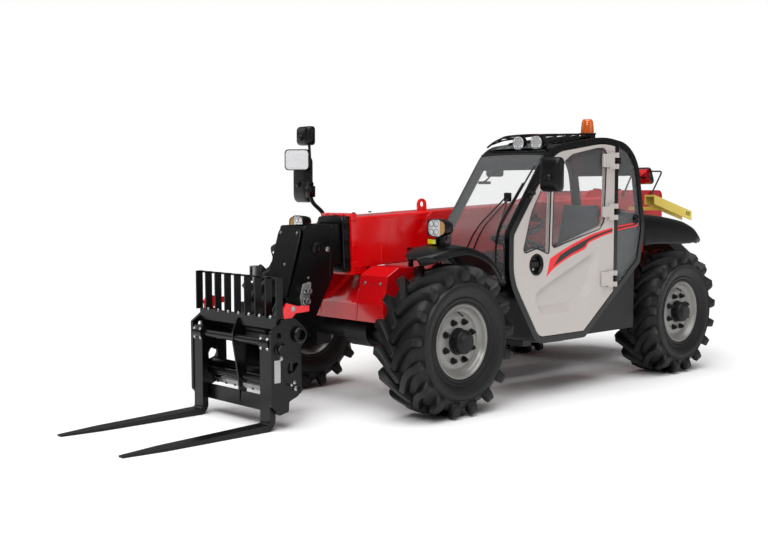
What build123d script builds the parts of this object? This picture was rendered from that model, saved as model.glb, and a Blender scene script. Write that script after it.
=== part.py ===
"""A compact telescopic handler with pallet forks on a quick-fit carriage.

Millimetres. +X is the machine's left, +Y its rear and +Z up. While it is drawn, Y = 0 is the front
axle line and Z = 0 the ground; save() moves each piece so that the origin is the middle of the
whole machine's length, on the ground.
"""

from build123d import *
from math import cos, pi, radians, sin
import os

# ---------------------------------------------------------------- driving sizes

# Wheels and axles
WHEELBASE = 2690.0
TYRE_R = 515.0            # over the lugs
TYRE_W = 400.0
WHEEL_X = 785.0           # middle plane of each wheel
CASING_R = 482.0          # the carcass between the lugs
SHOULDER_R = 500.0        # lug height at the tyre's shoulder
LUG_END_R = 400.0         # where a lug runs out on the sidewall
LUGS_A_SIDE = 17
LUG_W = 46.0
LUG_SWEEP = 22.0          # degrees from a lug's nose to its shoulder
BEAD_R = 245.0
RIM_WALL = 9.0
RIM_DISC_X = 118.0        # outer face of the rim's disc from the wheel's middle plane
RIM_DISC_T = 14.0
HUB_R = 96.0
HUB_REACH = 212.0         # end of the hub dome from the wheel's middle plane
STUD_PCD = 275.0
STUDS = 8
NUT_R = 15.0
NUT_L = 26.0
BORE_R = 110.0            # bore of the rim's disc over the hub's spigot
SPINDLE_R = 55.0          # running fit of the knuckle's spindle in the hub
SPINDLE_L = 26.0
KINGPIN_X = 655.0
KINGPIN_R = 24.0

# Chassis
BOOM_X = -25.0            # middle plane of the boom
CHEEK_GAP = 330.0         # between the two side plates
CHEEK_T = 20.0
FRAME_BOTTOM = 372.0
FRAME_TOP = 800.0
FRAME_FRONT = -215.0
CHEEK_TOP = 1530.0
NOSE_HALF = 440.0
NOSE_Y = -250.0
NOSE_TOP = 990.0
AXLE_TUBE_R = 75.0
AXLE_PAD_Z = 645.0        # top of the axle, where the frame sits on it
DIFF_R = 122.0

# Boom
PIVOT_Y = WHEELBASE + 660.0
PIVOT_Z = 1400.0
BOOM_DROP = 2.4           # degrees that the lowered boom points down
OUTER_W = 290.0
OUTER_TOP = 86.0          # above the pivot, square to the boom
OUTER_BOTTOM = -274.0
OUTER_WALL = 10.0
BOOM_FRONT_Y = -267.0     # where the outer section's front flange stands
OUTER_LEN = (PIVOT_Y - BOOM_FRONT_Y) / cos(radians(BOOM_DROP))
OUTER_TAIL = 150.0
FLANGE_T = 18.0
FLANGE_RIM = 12.0
COLLAR_L = 62.0
INNER_W = 222.0
INNER_H = 280.0
INNER_WALL = 9.0
INNER_MID = -94.0
INNER_FRONT = OUTER_LEN + 200.0   # pivot to the inner section's front end
INNER_BACK = 420.0
PIVOT_PIN_R = 40.0
PIN_PLAY = 0.05           # running clearance of a pin in its bore
BODY_PLAY = 6.0           # clearance between pieces that swing past each other
BOOM_PAD_PLAY = 0.5       # between the inner section and the pads it slides on
LIFTING_EYE_BACK = 2760.0  # boom pivot to the lifting eye on the outer section
LIFTING_EYE_T = 16.0
LIFTING_EYE_R = 22.0

# Boom head, tilt linkage and hitch
HEAD_W = 266.0
HEAD_T = 22.0
TILT_Y, TILT_Z = -800.0, 370.0        # carriage pivot
TILT_TOP_Y, TILT_TOP_Z = -560.0, 1130.0   # upper pin of the tilt cylinder
TILT_EYE_Y, TILT_EYE_Z = -877.0, 576.0    # rod eye of the tilt cylinder
TILT_PIN_R = 28.0
TILT_BARREL_R = 36.0
TILT_ROD_R = 21.0
TILT_BARREL_END = 560.0   # upper pin to the mouth of the barrel
TILT_LUG_X = 56.0
TILT_STROKE = 360.0
PISTON_L = 30.0

# Lift cylinder
LIFT_BASE_Y, LIFT_BASE_Z = WHEELBASE + 310.0, 750.0
LIFT_EYE_Y, LIFT_EYE_Z = PIVOT_Y - 1850.0, 975.0
LIFT_BARREL_END = 1330.0  # base pin to the mouth of the barrel
LIFT_LUG_X = 75.0
LIFT_STROKE = 780.0
LIFT_BARREL_R = 62.0
LIFT_ROD_R = 38.0
LIFT_PIN_R = 30.0

# Carriage and forks
CARRIAGE_X0, CARRIAGE_X1 = -475.0, 425.0  # outer faces of its two side plates
CARRIAGE_T = 25.0
SHAFT_Y, SHAFT_Z, SHAFT_R = -1165.0, 560.0, 24.0
HOOK_Y, HOOK_Z, HOOK_R = -980.0, 603.0, 30.0
LOCK_Y, LOCK_Z, LOCK_R = -975.0, 255.0, 22.0
HOOK_BORE_R = 30.0
RIB_X = 0.0
FORK_W = 100.0
FORK_T = 45.0
FORK_Y = -1194.0          # front face of the shank
FORK_TIP = -2220.0
FORK_X = (-398.0, 348.0)
BACKREST_TOP = 975.0
BACKREST_Y = -1125.0
BAR_T = 12.0
BARS = 9

# Cab
CAB_X0, CAB_X1 = 272.0, 922.0
CAB_WALL = 42.0
CAB_RIM = 46.0            # width of the black frame round the door
DOOR_T = 38.0
DOOR_GAP = 6.0
DOOR_REAR = 1742.0
HINGE_X, HINGE_R = 944.0, 13.0
HINGE_PIN_R = 7.0
GLASS_T = 6.0
FLOOR_Z = 560.0

# Engine, hood and side tank
ENGINE_X0, ENGINE_X1, ENGINE_Z0 = -760.0, -270.0, 610.0
ENGINE_LEN = 880.0
ENGINE_TALL = 510.0
ENGINE_REAR = WHEELBASE - 660.0   # clear of the steered rear tyre
HOOD_X0 = -900.0
HOOD_TOP = 1520.0
HOOD_T = 16.0
HOOD_HINGE_X, HOOD_HINGE_Z = -231.0, 1534.0
HOOD_HINGE_Y = (WHEELBASE + 390.0, WHEELBASE + 710.0)
TANK_FRONT, TANK_REAR = 1440.0, WHEELBASE - 630.0
TANK_X0 = 500.0

# Fenders and lamps
FENDER_T = 14.0
FENDER_X = 930.0          # outer edge of each fender
FENDER_Z = 1152.0
FENDER_LIP = 50.0
LAMP_X, LAMP_Z = 748.0, 1274.0

# Cab fittings
CAB_BOTTOM = 418.0
CAB_TOP = 1932.0
BEACON_X, BEACON_Y = 690.0, 1700.0
BEACON_R, BEACON_BASE_R = 50.0, 62.0
BEACON_H = 175.0
QUARTER_Y = 1790.0
HINGE_Z = (1750.0, 1360.0, 845.0)
HANDLE_Y, HANDLE_Z, HANDLE_R = 797.0, 993.0, 72.0
SCOOP_DEPTH = 26.0
SEAT_X = 605.0
STEERING_R = 175.0
GUARD_BARS = 4

# Rear fittings
REAR_END = WHEELBASE + 922.0
TIE_DOWN_R = 17.0
TIE_DOWN_IN = 42.0
TOW_PIN_R = 16.0
TOW_Y = REAR_END - 72.0
TOW_Z = 740.0
TOW_LEN = 240.0
TOW_JAW = 80.0
WEIGHT_HALF = 800.0
PROP_X = 550.0

# Mirrors' reach, which sets the machine's whole width
MIRROR_REACH = 1215.0

MID_Y = (FORK_TIP + REAR_END) / 2

SIDES = (("fl", 1, 0.0), ("fr", -1, 0.0), ("rl", 1, WHEELBASE), ("rr", -1, WHEELBASE))

# ---------------------------------------------------------------- helpers


def save(name, shape):
    """Write one piece, moved so that the origin is the machine's middle on the ground."""
    moved = Pos(0, -MID_Y, 0) * shape
    export_step(moved, f"parts/{name}.step")


def block(x0, x1, y0, y1, z0, z1):
    """A box between its limits."""
    return Pos((x0 + x1) / 2, (y0 + y1) / 2, (z0 + z1) / 2) * Box(x1 - x0, y1 - y0, z1 - z0)


def outline_face(corners):
    """The flat face inside corners (a, b, radius)."""
    points = [(a, b) for a, b, _ in corners]
    return make_face(FilletPolyline(*points, radius=[max(r, 0.01) for _, _, r in corners], close=True))


def side_plate(corners, x0, x1):
    """A plate between x0 and x1 whose outline has corners (y, z, radius)."""
    return extrude(Plane.YZ.offset(x0) * outline_face(corners), x1 - x0)


def plain_plate(points, x0, x1):
    """A plate between x0 and x1 with sharp corners (y, z)."""
    return extrude(Plane.YZ.offset(x0) * make_face(Polyline(*points, close=True)), x1 - x0)


def bar_x(x0, x1, y, z, r):
    """A round bar along X."""
    return Pos((x0 + x1) / 2, y, z) * Rot(0, 90, 0) * Cylinder(r, x1 - x0)


def bar_y(x, y0, y1, z, r):
    """A round bar along Y."""
    return Pos(x, (y0 + y1) / 2, z) * Rot(90, 0, 0) * Cylinder(r, y1 - y0)


def bar_z(x, y, z0, z1, r):
    """A round bar along Z."""
    return Pos(x, y, (z0 + z1) / 2) * Cylinder(r, z1 - z0)


def rod(start, end, r):
    """A round bar between two points."""
    start, end = Vector(*start), Vector(*end)
    span = end - start
    plane = Plane(origin=start, z_dir=span)
    return extrude(plane * Circle(r), span.length)


def tube(points, radius, r):
    """A bent round tube through points, with bends of one radius."""
    path = FilletPolyline(*points, radius=radius)
    return sweep(Plane(origin=path @ 0, z_dir=path % 0) * Circle(r), path=path)


def mirror_x(shape, about=0.0):
    """The same piece on the other side of a plane X = about."""
    return mirror(shape, about=Plane.YZ.offset(about))


# ---------------------------------------------------------------- wheels


def carcass():
    """The tyre's carcass, round the X axis, with its middle plane at X = 0."""
    half = TYRE_W / 2
    outline = [
        (-128, BEAD_R - 4),
        (-150, BEAD_R + 26),
        (-half + 26, LUG_END_R - 80),
        (-half + 12, LUG_END_R - 10),
        (-half + 22, CASING_R - 34),
        (-half + 62, CASING_R),
        (half - 62, CASING_R),
        (half - 22, CASING_R - 34),
        (half - 12, LUG_END_R - 10),
        (half - 26, LUG_END_R - 80),
        (150, BEAD_R + 26),
        (128, BEAD_R - 4),
    ]
    face = make_face(Polyline(*outline, close=True))
    return revolve(Plane.XY * face, axis=Axis.X)


def lug_section(x, r_top, r_foot, angle, width):
    """A four-sided section of a lug, at X = x and turned by angle round the X axis."""
    a = radians(angle)
    out = Vector(0, sin(a), cos(a))
    side = Vector(0, cos(a), -sin(a)) * (width / 2)
    here = Vector(x, 0, 0)
    corners = [
        here + out * r_foot - side * 1.35,
        here + out * r_foot + side * 1.35,
        here + out * r_top + side,
        here + out * r_top - side,
    ]
    return make_face(Polyline(*corners, close=True))


def lug():
    """One lug, from its nose past the tyre's middle, out to the shoulder and down the sidewall."""
    half = TYRE_W / 2
    stations = [
        # x, top radius, foot radius, share of the sweep, width
        (-14.0, TYRE_R - 3, CASING_R - 12, 0.0, LUG_W),
        (half * 0.42, TYRE_R, CASING_R - 12, 0.50, LUG_W),
        (half - 14, SHOULDER_R, CASING_R - 48, 0.92, LUG_W + 4),
        (half, LUG_END_R + 56, LUG_END_R - 30, 1.0, LUG_W + 2),
    ]
    sections = [lug_section(x, top, foot, LUG_SWEEP * s, w) for x, top, foot, s, w in stations]
    return loft(sections, ruled=True)


def tyre(side):
    """A tyre with its lugs in two staggered rows, for the left (1) or right (-1) wheel."""
    row = lug()
    other = mirror_x(row)
    pitch = 360.0 / LUGS_A_SIDE
    lugs = [Rot(pitch * i, 0, 0) * row for i in range(LUGS_A_SIDE)]
    lugs += [Rot(pitch * (i + 0.5), 0, 0) * other for i in range(LUGS_A_SIDE)]
    whole = carcass().fuse(*lugs)
    return whole if side > 0 else mirror_x(whole)


def rim():
    """A wheel rim with its disc, nuts and planetary hub dome; its outer side is +X."""
    disc_in = RIM_DISC_X - RIM_DISC_T
    well = BEAD_R - 5
    outline = [
        (-158, BEAD_R + 12),
        (-150, BEAD_R + 12),
        (-150, well),
        (-60, well - 26),
        (60, well - 26),
        (118, well),
        (150, well),
        (150, BEAD_R + 12),
        (158, BEAD_R + 12),
        (158, well - RIM_WALL),
        (122, well - RIM_WALL),
        (RIM_DISC_X, well - 24),
        (RIM_DISC_X, BORE_R - 20),
        (disc_in, BORE_R - 20),
        (disc_in, well - 34),
        (60, well - 26 - RIM_WALL),
        (-60, well - 26 - RIM_WALL),
        (-150, well - RIM_WALL),
        (-158, well - RIM_WALL),
    ]
    barrel = revolve(Plane.XY * make_face(Polyline(*outline, close=True)), axis=Axis.X)
    dome_outline = [
        (disc_in - 30, 0),
        (disc_in - 30, HUB_R + 6),
        (RIM_DISC_X + 10, HUB_R + 6),
        (RIM_DISC_X + 22, HUB_R),
        (HUB_REACH - 22, HUB_R - 4),
        (HUB_REACH - 6, HUB_R - 20),
        (HUB_REACH, HUB_R - 46),
        (HUB_REACH, 0),
    ]
    dome = revolve(Plane.XY * make_face(Polyline(*dome_outline, close=True)), axis=Axis.X)
    dome -= bar_x(disc_in - 31, disc_in + SPINDLE_L, 0, 0, SPINDLE_R + PIN_PLAY)
    nuts = []
    for i in range(STUDS):
        a = 2 * pi * (i + 0.5) / STUDS
        y, z = STUD_PCD / 2 * cos(a), STUD_PCD / 2 * sin(a)
        hexagon = Plane.YZ.offset(disc_in) * Pos(y, z) * RegularPolygon(NUT_R + 3, 6)
        nuts.append(extrude(hexagon, RIM_DISC_T + NUT_L))
    return barrel.fuse(dome, *nuts)


def knuckle():
    """A steering knuckle on the left: its hub carrier, the kingpin's eyes and the spindle."""
    reach = WHEEL_X + RIM_DISC_X - RIM_DISC_T - 30 - 1.0
    carrier = bar_x(KINGPIN_X - 40, reach, 0, 0, 92)
    carrier += bar_x(KINGPIN_X + 60, KINGPIN_X + 90, 0, 0, 150)
    carrier += bar_z(KINGPIN_X, 0, -118, 118, 48)
    carrier -= bar_z(KINGPIN_X, 0, -160, 160, KINGPIN_R + PIN_PLAY)
    carrier += bar_x(reach - 1, reach + SPINDLE_L, 0, 0, SPINDLE_R)
    arm = block(KINGPIN_X - 30, KINGPIN_X + 40, 40, 190, -25, 5)
    return carrier + arm


def axle():
    """An axle beam: the differential case, the tubes, the yokes at each end and the kingpins."""
    beam = bar_x(-KINGPIN_X + 120, KINGPIN_X - 120, 0, 0, AXLE_TUBE_R)
    beam += bar_x(-120, 120, 0, 0, DIFF_R)
    beam += block(-130, 130, -95, 95, 0, AXLE_PAD_Z - TYRE_R)
    for side in (1, -1):
        for z in (-142, 142):
            ear_z0, ear_z1 = (z - 16, z + 16)
            x0, x1 = sorted((side * (KINGPIN_X - 150), side * KINGPIN_X))
            beam += block(x0, x1, -50, 50, ear_z0, ear_z1)
            beam += bar_z(side * KINGPIN_X, 0, ear_z0, ear_z1, 50)
        x0, x1 = sorted((side * (KINGPIN_X - 170), side * (KINGPIN_X - 112)))
        beam += block(x0, x1, -70, 70, -158, 158)
        beam += bar_z(side * KINGPIN_X, 0, -158, 158, KINGPIN_R)
    return beam


def save_wheels():
    """The four wheels and knuckles and the two axles."""
    left_tyre, left_rim, left_knuckle = tyre(1), rim(), knuckle()
    for corner, side, y in SIDES:
        wheel = Pos(side * WHEEL_X, y, TYRE_R)
        flip = (lambda s: s) if side > 0 else mirror_x
        save(f"tyre_{corner}", wheel * flip(left_tyre))
        save(f"rim_{corner}", wheel * flip(left_rim))
        swivel = left_knuckle if y == 0.0 else mirror(left_knuckle, about=Plane.XZ)
        save(f"knuckle_{corner}", Pos(0, y, TYRE_R) * flip(swivel))
    for name, y in (("front_axle", 0.0), ("rear_axle", WHEELBASE)):
        save(name, Pos(0, y, TYRE_R) * axle())


# ---------------------------------------------------------------- chassis

CHEEK_IN0 = BOOM_X - CHEEK_GAP / 2
CHEEK_IN1 = BOOM_X + CHEEK_GAP / 2
CHEEK_OUT0 = CHEEK_IN0 - CHEEK_T
CHEEK_OUT1 = CHEEK_IN1 + CHEEK_T
BOSS_REACH = 6.0
ARCH = 260.0              # half the width of the frame's arch over each axle
BELLY_T = 12.0
CROSS_T = 24.0
BELLY_Y0 = ARCH + 170.0
BELLY_Y1 = WHEELBASE - 486.0


def side_frames():
    """The two long side plates, with their arches over the axles and the cheeks of the boom's pivot."""
    outline = [
        # y, z, corner radius
        (FRAME_FRONT, FRAME_TOP - 70, 30),
        (FRAME_FRONT + 260, FRAME_TOP + 90, 40),
        (WHEELBASE - 540, FRAME_TOP + 90, 200),
        (WHEELBASE + 260, CHEEK_TOP, 120),
        (REAR_END, CHEEK_TOP, 60),
        (REAR_END, CHEEK_TOP - 350, 120),
        (REAR_END - 132, 760, 150),
        (REAR_END - 312, FRAME_BOTTOM + 60, 60),
        (WHEELBASE + ARCH + 60, FRAME_BOTTOM + 60, 40),
        (WHEELBASE + ARCH, AXLE_PAD_Z, 60),
        (WHEELBASE - ARCH, AXLE_PAD_Z, 60),
        (WHEELBASE - ARCH - 100, FRAME_BOTTOM, 60),
        (ARCH + 100, FRAME_BOTTOM, 60),
        (ARCH, AXLE_PAD_Z, 60),
        (FRAME_FRONT, AXLE_PAD_Z, 30),
    ]
    plates = []
    for x0, boss0, boss1 in (
        (CHEEK_OUT0, CHEEK_OUT0 - BOSS_REACH, CHEEK_OUT0),
        (CHEEK_IN1, CHEEK_OUT1, CHEEK_OUT1 + BOSS_REACH),
    ):
        plate = side_plate(outline, x0, x0 + CHEEK_T)
        plate += bar_x(boss0, boss1, PIVOT_Y, PIVOT_Z, PIVOT_PIN_R + 30)
        tie_y, tie_z = REAR_END - TIE_DOWN_IN, CHEEK_TOP - TIE_DOWN_IN
        plates.append(plate - bar_x(x0 - 1, x0 + CHEEK_T + 1, tie_y, tie_z, TIE_DOWN_R))
    return Compound(plates)


def cross_members():
    """What joins the side plates: the belly tray, the axle pads, the pins, and the outriggers."""
    between = [
        # y from, y to, z from, z to
        (FRAME_FRONT, FRAME_FRONT + 20, AXLE_PAD_Z, FRAME_TOP - 80),
        (BELLY_Y0, BELLY_Y0 + CROSS_T, FRAME_BOTTOM, FRAME_TOP),
        (BELLY_Y1 - CROSS_T, BELLY_Y1, FRAME_BOTTOM, FRAME_TOP),
        (WHEELBASE + 550, WHEELBASE + 574, FRAME_BOTTOM + 60, 900),
        (BELLY_Y0, BELLY_Y1, FRAME_BOTTOM, FRAME_BOTTOM + BELLY_T),
        (-95, 95, AXLE_PAD_Z, AXLE_PAD_Z + 40),
        (WHEELBASE - 95, WHEELBASE + 95, AXLE_PAD_Z, AXLE_PAD_Z + 40),
    ]
    members = Part()
    for y0, y1, z0, z1 in between:
        members += block(CHEEK_IN0, CHEEK_IN1, y0, y1, z0, z1)
    for side in (-1, 1):
        x0 = BOOM_X + side * LIFT_LUG_X - 10
        members += block(x0, x0 + 20, LIFT_BASE_Y - 60, WHEELBASE + 560, LIFT_BASE_Z - 90, LIFT_BASE_Z + 60)
    pin_reach = LIFT_LUG_X + 25
    members += bar_x(BOOM_X - pin_reach, BOOM_X + pin_reach, LIFT_BASE_Y, LIFT_BASE_Z, LIFT_PIN_R)
    members += bar_x(CHEEK_IN0, CHEEK_IN1, PIVOT_Y, PIVOT_Z, PIVOT_PIN_R)
    for y in (900.0, 1280.0):
        members += block(CHEEK_OUT1, CAB_X1 - 200, y, y + 90, FRAME_BOTTOM, CAB_BOTTOM)
    members += block(CHEEK_OUT1, CAB_X0, 1900, 1990, 790, 870)
    for y in (ENGINE_REAR - ENGINE_LEN + 30, ENGINE_REAR - 130):
        members += block(ENGINE_X0, CHEEK_OUT0, y, y + 90, ENGINE_Z0 - 80, ENGINE_Z0)
    for y in HOOD_HINGE_Y:
        members += block(HOOD_HINGE_X - 10, CHEEK_OUT0, y + 64, y + 84, HOOD_HINGE_Z - 8, HOOD_HINGE_Z + 8)
        members += bar_y(HOOD_HINGE_X, y - 6, y + 84, HOOD_HINGE_Z, HINGE_PIN_R)
    return members


def nose_panels():
    """The red covers under the boom: a sloping middle panel and a box with a lid each side."""
    middle_outline = [
        (NOSE_Y, 610),
        (NOSE_Y, 735),
        (0, 905),
        (60, 905),
        (60, 893),
        (8, 893),
        (FRAME_FRONT - 6, 725),
        (FRAME_FRONT - 6, 610),
    ]
    box_outline = [
        (NOSE_Y, 610),
        (NOSE_Y, 735),
        (NOSE_Y + 45, NOSE_TOP - 55),
        (NOSE_Y + 145, NOSE_TOP),
        (60, NOSE_TOP),
        (60, 860),
        (FRAME_FRONT, 700),
        (FRAME_FRONT, 610),
    ]
    middle = plain_plate(middle_outline, CHEEK_OUT0, CHEEK_OUT1)
    left = plain_plate(box_outline, CHEEK_OUT1, NOSE_HALF)
    right = plain_plate(box_outline, -NOSE_HALF, CHEEK_OUT0)
    return middle + left + right


def engine_hood():
    """The cover over the engine on the right, a thin shell open underneath and towards the boom."""
    outline = [
        # y, z, corner radius, then how far the inside is drawn in along y and z
        (WHEELBASE - 1690, 640, 30, HOOD_T, -40),
        (WHEELBASE - 1690, 1110, 60, HOOD_T, -10),
        (WHEELBASE - 1510, 1190, 120, 8, -HOOD_T),
        (WHEELBASE - 130, 1400, 500, 4, -HOOD_T),
        (WHEELBASE + 360, HOOD_TOP, 300, 2, -HOOD_T),
        (WHEELBASE + 810, HOOD_TOP, 80, -8, -HOOD_T),
        (WHEELBASE + 870, 1420, 60, -HOOD_T, -6),
        (WHEELBASE + 870, 1142, 30, -HOOD_T, -40),
        (WHEELBASE - 580, 1142, 30, -HOOD_T, -40),
        (WHEELBASE - 630, 640, 30, -HOOD_T, -40),
    ]
    x0, x1 = HOOD_X0, CHEEK_OUT0 - BODY_PLAY - 6
    skin = side_plate([(y, z, r) for y, z, r, _, _ in outline], x0, x1)
    rim = skin.edges().filter_by(GeomType.LINE).filter_by(Axis.Y).group_by(Axis.X)[0]
    skin = fillet(rim.group_by(Axis.Z)[-1], 40)
    skin -= side_plate([(y + dy, z + dz, r) for y, z, r, dy, dz in outline], x0 + HOOD_T, x1 + 1)
    for y in HOOD_HINGE_Y:
        skin += bar_y(HOOD_HINGE_X, y, y + 60, HOOD_HINGE_Z, HINGE_R)
        skin += block(HOOD_HINGE_X - 12, HOOD_HINGE_X + 5, y, y + 60, HOOD_TOP - HOOD_T + 2, HOOD_HINGE_Z)
        skin -= bar_y(HOOD_HINGE_X, y - 1, y + 61, HOOD_HINGE_Z, HINGE_PIN_R + PIN_PLAY)
    return skin


def fender(top, x_in, side):
    """A fender leaf that follows the outline top (y, z, radius), with a lip along its outer edge."""
    under = [(y, z - FENDER_T, r) for y, z, r in reversed(top)]
    lip_top = [(y, z - FENDER_T / 2, r) for y, z, r in top]
    lip_under = [(y, z - FENDER_LIP, r) for y, z, r in reversed(top)]
    leaf = side_plate(top + under, x_in, FENDER_X)
    leaf += side_plate(lip_top + lip_under, FENDER_X - 12, FENDER_X)
    return leaf if side > 0 else mirror_x(leaf)


def front_fenders():
    """The two front fenders, each on a post from its nose box."""
    x_in = 545.0
    top = [
        # y, z, radius
        (-505, FENDER_Z - 56, 0),
        (-430, FENDER_Z - 34, 40),
        (-110, FENDER_Z, 200),
        (130, FENDER_Z, 150),
        (330, FENDER_Z - 96, 200),
        (455, FENDER_Z - 212, 0),
    ]
    left = fender(top, x_in, 1)
    left += block(NOSE_HALF - 70, NOSE_HALF - 20, -40, 50, NOSE_TOP, FENDER_Z - 2)
    left += block(NOSE_HALF - 70, x_in + 20, -40, 50, FENDER_Z - 48, FENDER_Z - 2)
    return Compound([left, mirror_x(left)])


def rear_fenders():
    """The left rear fender beside the cab, and the low right one under the hood."""
    x_in = 520.0
    high = [
        # y behind the rear axle, z, radius
        (-500, 1338, 0),
        (-360, 1342, 150),
        (70, 1290, 400),
        (370, 1190, 300),
        (510, 1050, 0),
    ]
    low = [(-540, 960, 0), (-360, 1092, 200), (0, 1128, 300), (360, 1062, 200), (510, 900, 0)]
    left = fender([(WHEELBASE + y, z, r) for y, z, r in high], x_in, 1)
    left += block(CHEEK_OUT1, x_in + 20, WHEELBASE + 10, WHEELBASE + 110, 1230, 1266)
    under = [(y, z - FENDER_T, r) for y, z, r in reversed(low)]
    right = side_plate([(WHEELBASE + y, z, r) for y, z, r in low + under], -FENDER_X, -x_in)
    right += block(-x_in - 20, CHEEK_OUT0, WHEELBASE - 50, WHEELBASE + 50, 1080, 1112)
    return Compound([left, right])


def side_tank():
    """The tank under the cab: its top follows the cab's sloping underside."""
    rise = (953 - CAB_BOTTOM) / (2104 - 1385)
    top = CAB_BOTTOM + (TANK_REAR - 1385) * rise - 18
    tank = [(TANK_FRONT, 434), (TANK_FRONT, 444), (TANK_REAR, top), (TANK_REAR, 434)]
    bracket = block(CHEEK_OUT1, TANK_X0, 1700, 1790, 470, 540)
    return plain_plate(tank, TANK_X0, CAB_X1 - 25) + bracket


def save_chassis():
    """The chassis, its covers, engine, fenders and side tank."""
    save("chassis_frame", side_frames())
    save("cross_members", cross_members())
    save("nose_panels", nose_panels())
    engine_y0 = ENGINE_REAR - ENGINE_LEN
    engine_z1 = ENGINE_Z0 + ENGINE_TALL
    save("engine_block", block(ENGINE_X0, ENGINE_X1, engine_y0, ENGINE_REAR, ENGINE_Z0, engine_z1))
    save("engine_hood", engine_hood())
    save("side_tank", side_tank())
    save("front_fenders", front_fenders())
    save("rear_fenders", rear_fenders())


# ---------------------------------------------------------------- cab

CAB_OUTLINE = [
    # y, z, corner radius: the cab's side view, from its bottom front corner round over the roof
    (809, CAB_BOTTOM, 150),
    (497, 880, 420),
    (497, 1225, 130),
    (969, 1843, 330),
    (1600, CAB_TOP, 900),
    (2040, 1872, 330),
    (2166, 1220, 400),
    (2104, 953, 60),
    (1385, CAB_BOTTOM, 60),
]


def cab_face(inset=0.0):
    """The cab's side view as a face, drawn in by an inset."""
    face = outline_face(CAB_OUTLINE)
    return offset(face, amount=-inset, kind=Kind.INTERSECTION) if inset else face


def cab_slab(inset, x0, x1):
    """The cab's side view, drawn in by an inset and extruded between x0 and x1."""
    return extrude(Plane.YZ.offset(x0) * cab_face(inset), x1 - x0)


WINDOW_X0 = CAB_X0 + 52.0
WINDOW_X1 = CAB_X1 - 52.0
PANES = {
    # y from, y to, z from, z to of each opening in the cab's front, roof and back
    "windscreen": (300, 890, 850, 1745),
    "roof": (1110, 1600, 1780, 2000),
    "rear": (1950, 2300, 1130, 1640),
}
SIDE_WINDOW_Z = 960.0


def upper_door_window(inset=0.0):
    """The opening of the door's upper window."""
    corners = [(973, 1092, 35), (986, 1560, 90), (1160, 1772, 140), (1640, 1862, 60), (1618, 1262, 60)]
    face = outline_face(corners)
    return offset(face, amount=-inset, kind=Kind.INTERSECTION) if inset else face


def front_door_window():
    """The opening of the door's fixed front window."""
    corners = [
        (642, 1068, 25),
        (735, 1365, 60),
        (915, 1622, 25),
        (962, 1622, 20),
        (942, 1056, 20),
        (800, 1108, 60),
    ]
    return outline_face(corners)


def door_scoop():
    """The hollow pressed into the door: a wide rim that slopes in to a smaller floor."""
    rim = [
        # y, z, radius
        (772, 790, 60),
        (1612, 1112, 55),
        (1455, 745, 240),
        (1200, 625, 160),
        (850, 622, 90),
    ]
    floor = [(790, 790, 40), (1540, 1072, 40), (1375, 775, 180), (1190, 692, 130), (830, 690, 60)]
    levels = []
    for corners, x in ((rim, CAB_X1 + 0.5), (floor, CAB_X1 - SCOOP_DEPTH)):
        levels.append(Plane.YZ.offset(x) * outline_face(corners))
    return loft(levels, ruled=True)


def cab_frame():
    """The hollow cab: one shell with its door opening and its windows cut out, and its floor."""
    shell = cab_slab(0, CAB_X0, CAB_X1) - cab_slab(CAB_WALL, CAB_X0 + CAB_WALL, CAB_X1 - CAB_WALL)
    opening = cab_slab(CAB_RIM, CAB_X1 - CAB_WALL - 1, CAB_X1 + 1)
    shell -= opening & block(0, 2000, 0, DOOR_REAR + DOOR_GAP, 0, 2500)
    shell -= opening & block(0, 2000, QUARTER_Y, 2500, 0, 2500)
    right = cab_slab(CAB_RIM + 14, CAB_X0 - 1, CAB_X0 + CAB_WALL + 1)
    shell -= right & block(0, 2000, 0, 2500, SIDE_WINDOW_Z, 2500)
    for y0, y1, z0, z1 in PANES.values():
        shell -= block(WINDOW_X0, WINDOW_X1, y0, y1, z0, z1)
    floor = cab_slab(CAB_WALL, CAB_X0 + CAB_WALL, CAB_X1 - CAB_WALL) & block(0, 2000, 0, 2500, 0, FLOOR_Z)
    shell += floor & block(0, 2000, 0, 2500, FLOOR_Z - 30, FLOOR_Z)
    for i in range(GUARD_BARS):
        x = WINDOW_X0 + (WINDOW_X1 - WINDOW_X0) * (i + 1) / (GUARD_BARS + 1)
        shell += rod((x, 1075, 1874), (x, 1640, 1946), 9)
        shell += block(x - 12, x + 12, 1068, 1088, 1840, 1876)
        shell += block(x - 12, x + 12, 1622, 1642, 1900, 1944)
    for z in HINGE_Z:
        shell += block(CAB_X1 - 30, CAB_X1 + 6, DOOR_REAR + 16, QUARTER_Y - 2, z - 22, z + 22)
        shell += block(CAB_X1 + 2, HINGE_X, DOOR_REAR, QUARTER_Y - 2, z - 22, z + 22)
        shell += bar_z(HINGE_X, DOOR_REAR, z - 22, z + 22, HINGE_R)
        shell += bar_z(HINGE_X, DOOR_REAR, z - 62, z + 62, HINGE_PIN_R)
    return shell


def pane_skin():
    """The thin skin that the front, roof and rear glass is cut from, just inside the cab's outside."""
    return cab_slab(8, WINDOW_X0, WINDOW_X1) - cab_slab(8 + GLASS_T, WINDOW_X0 - 5, WINDOW_X1 + 5)


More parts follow.
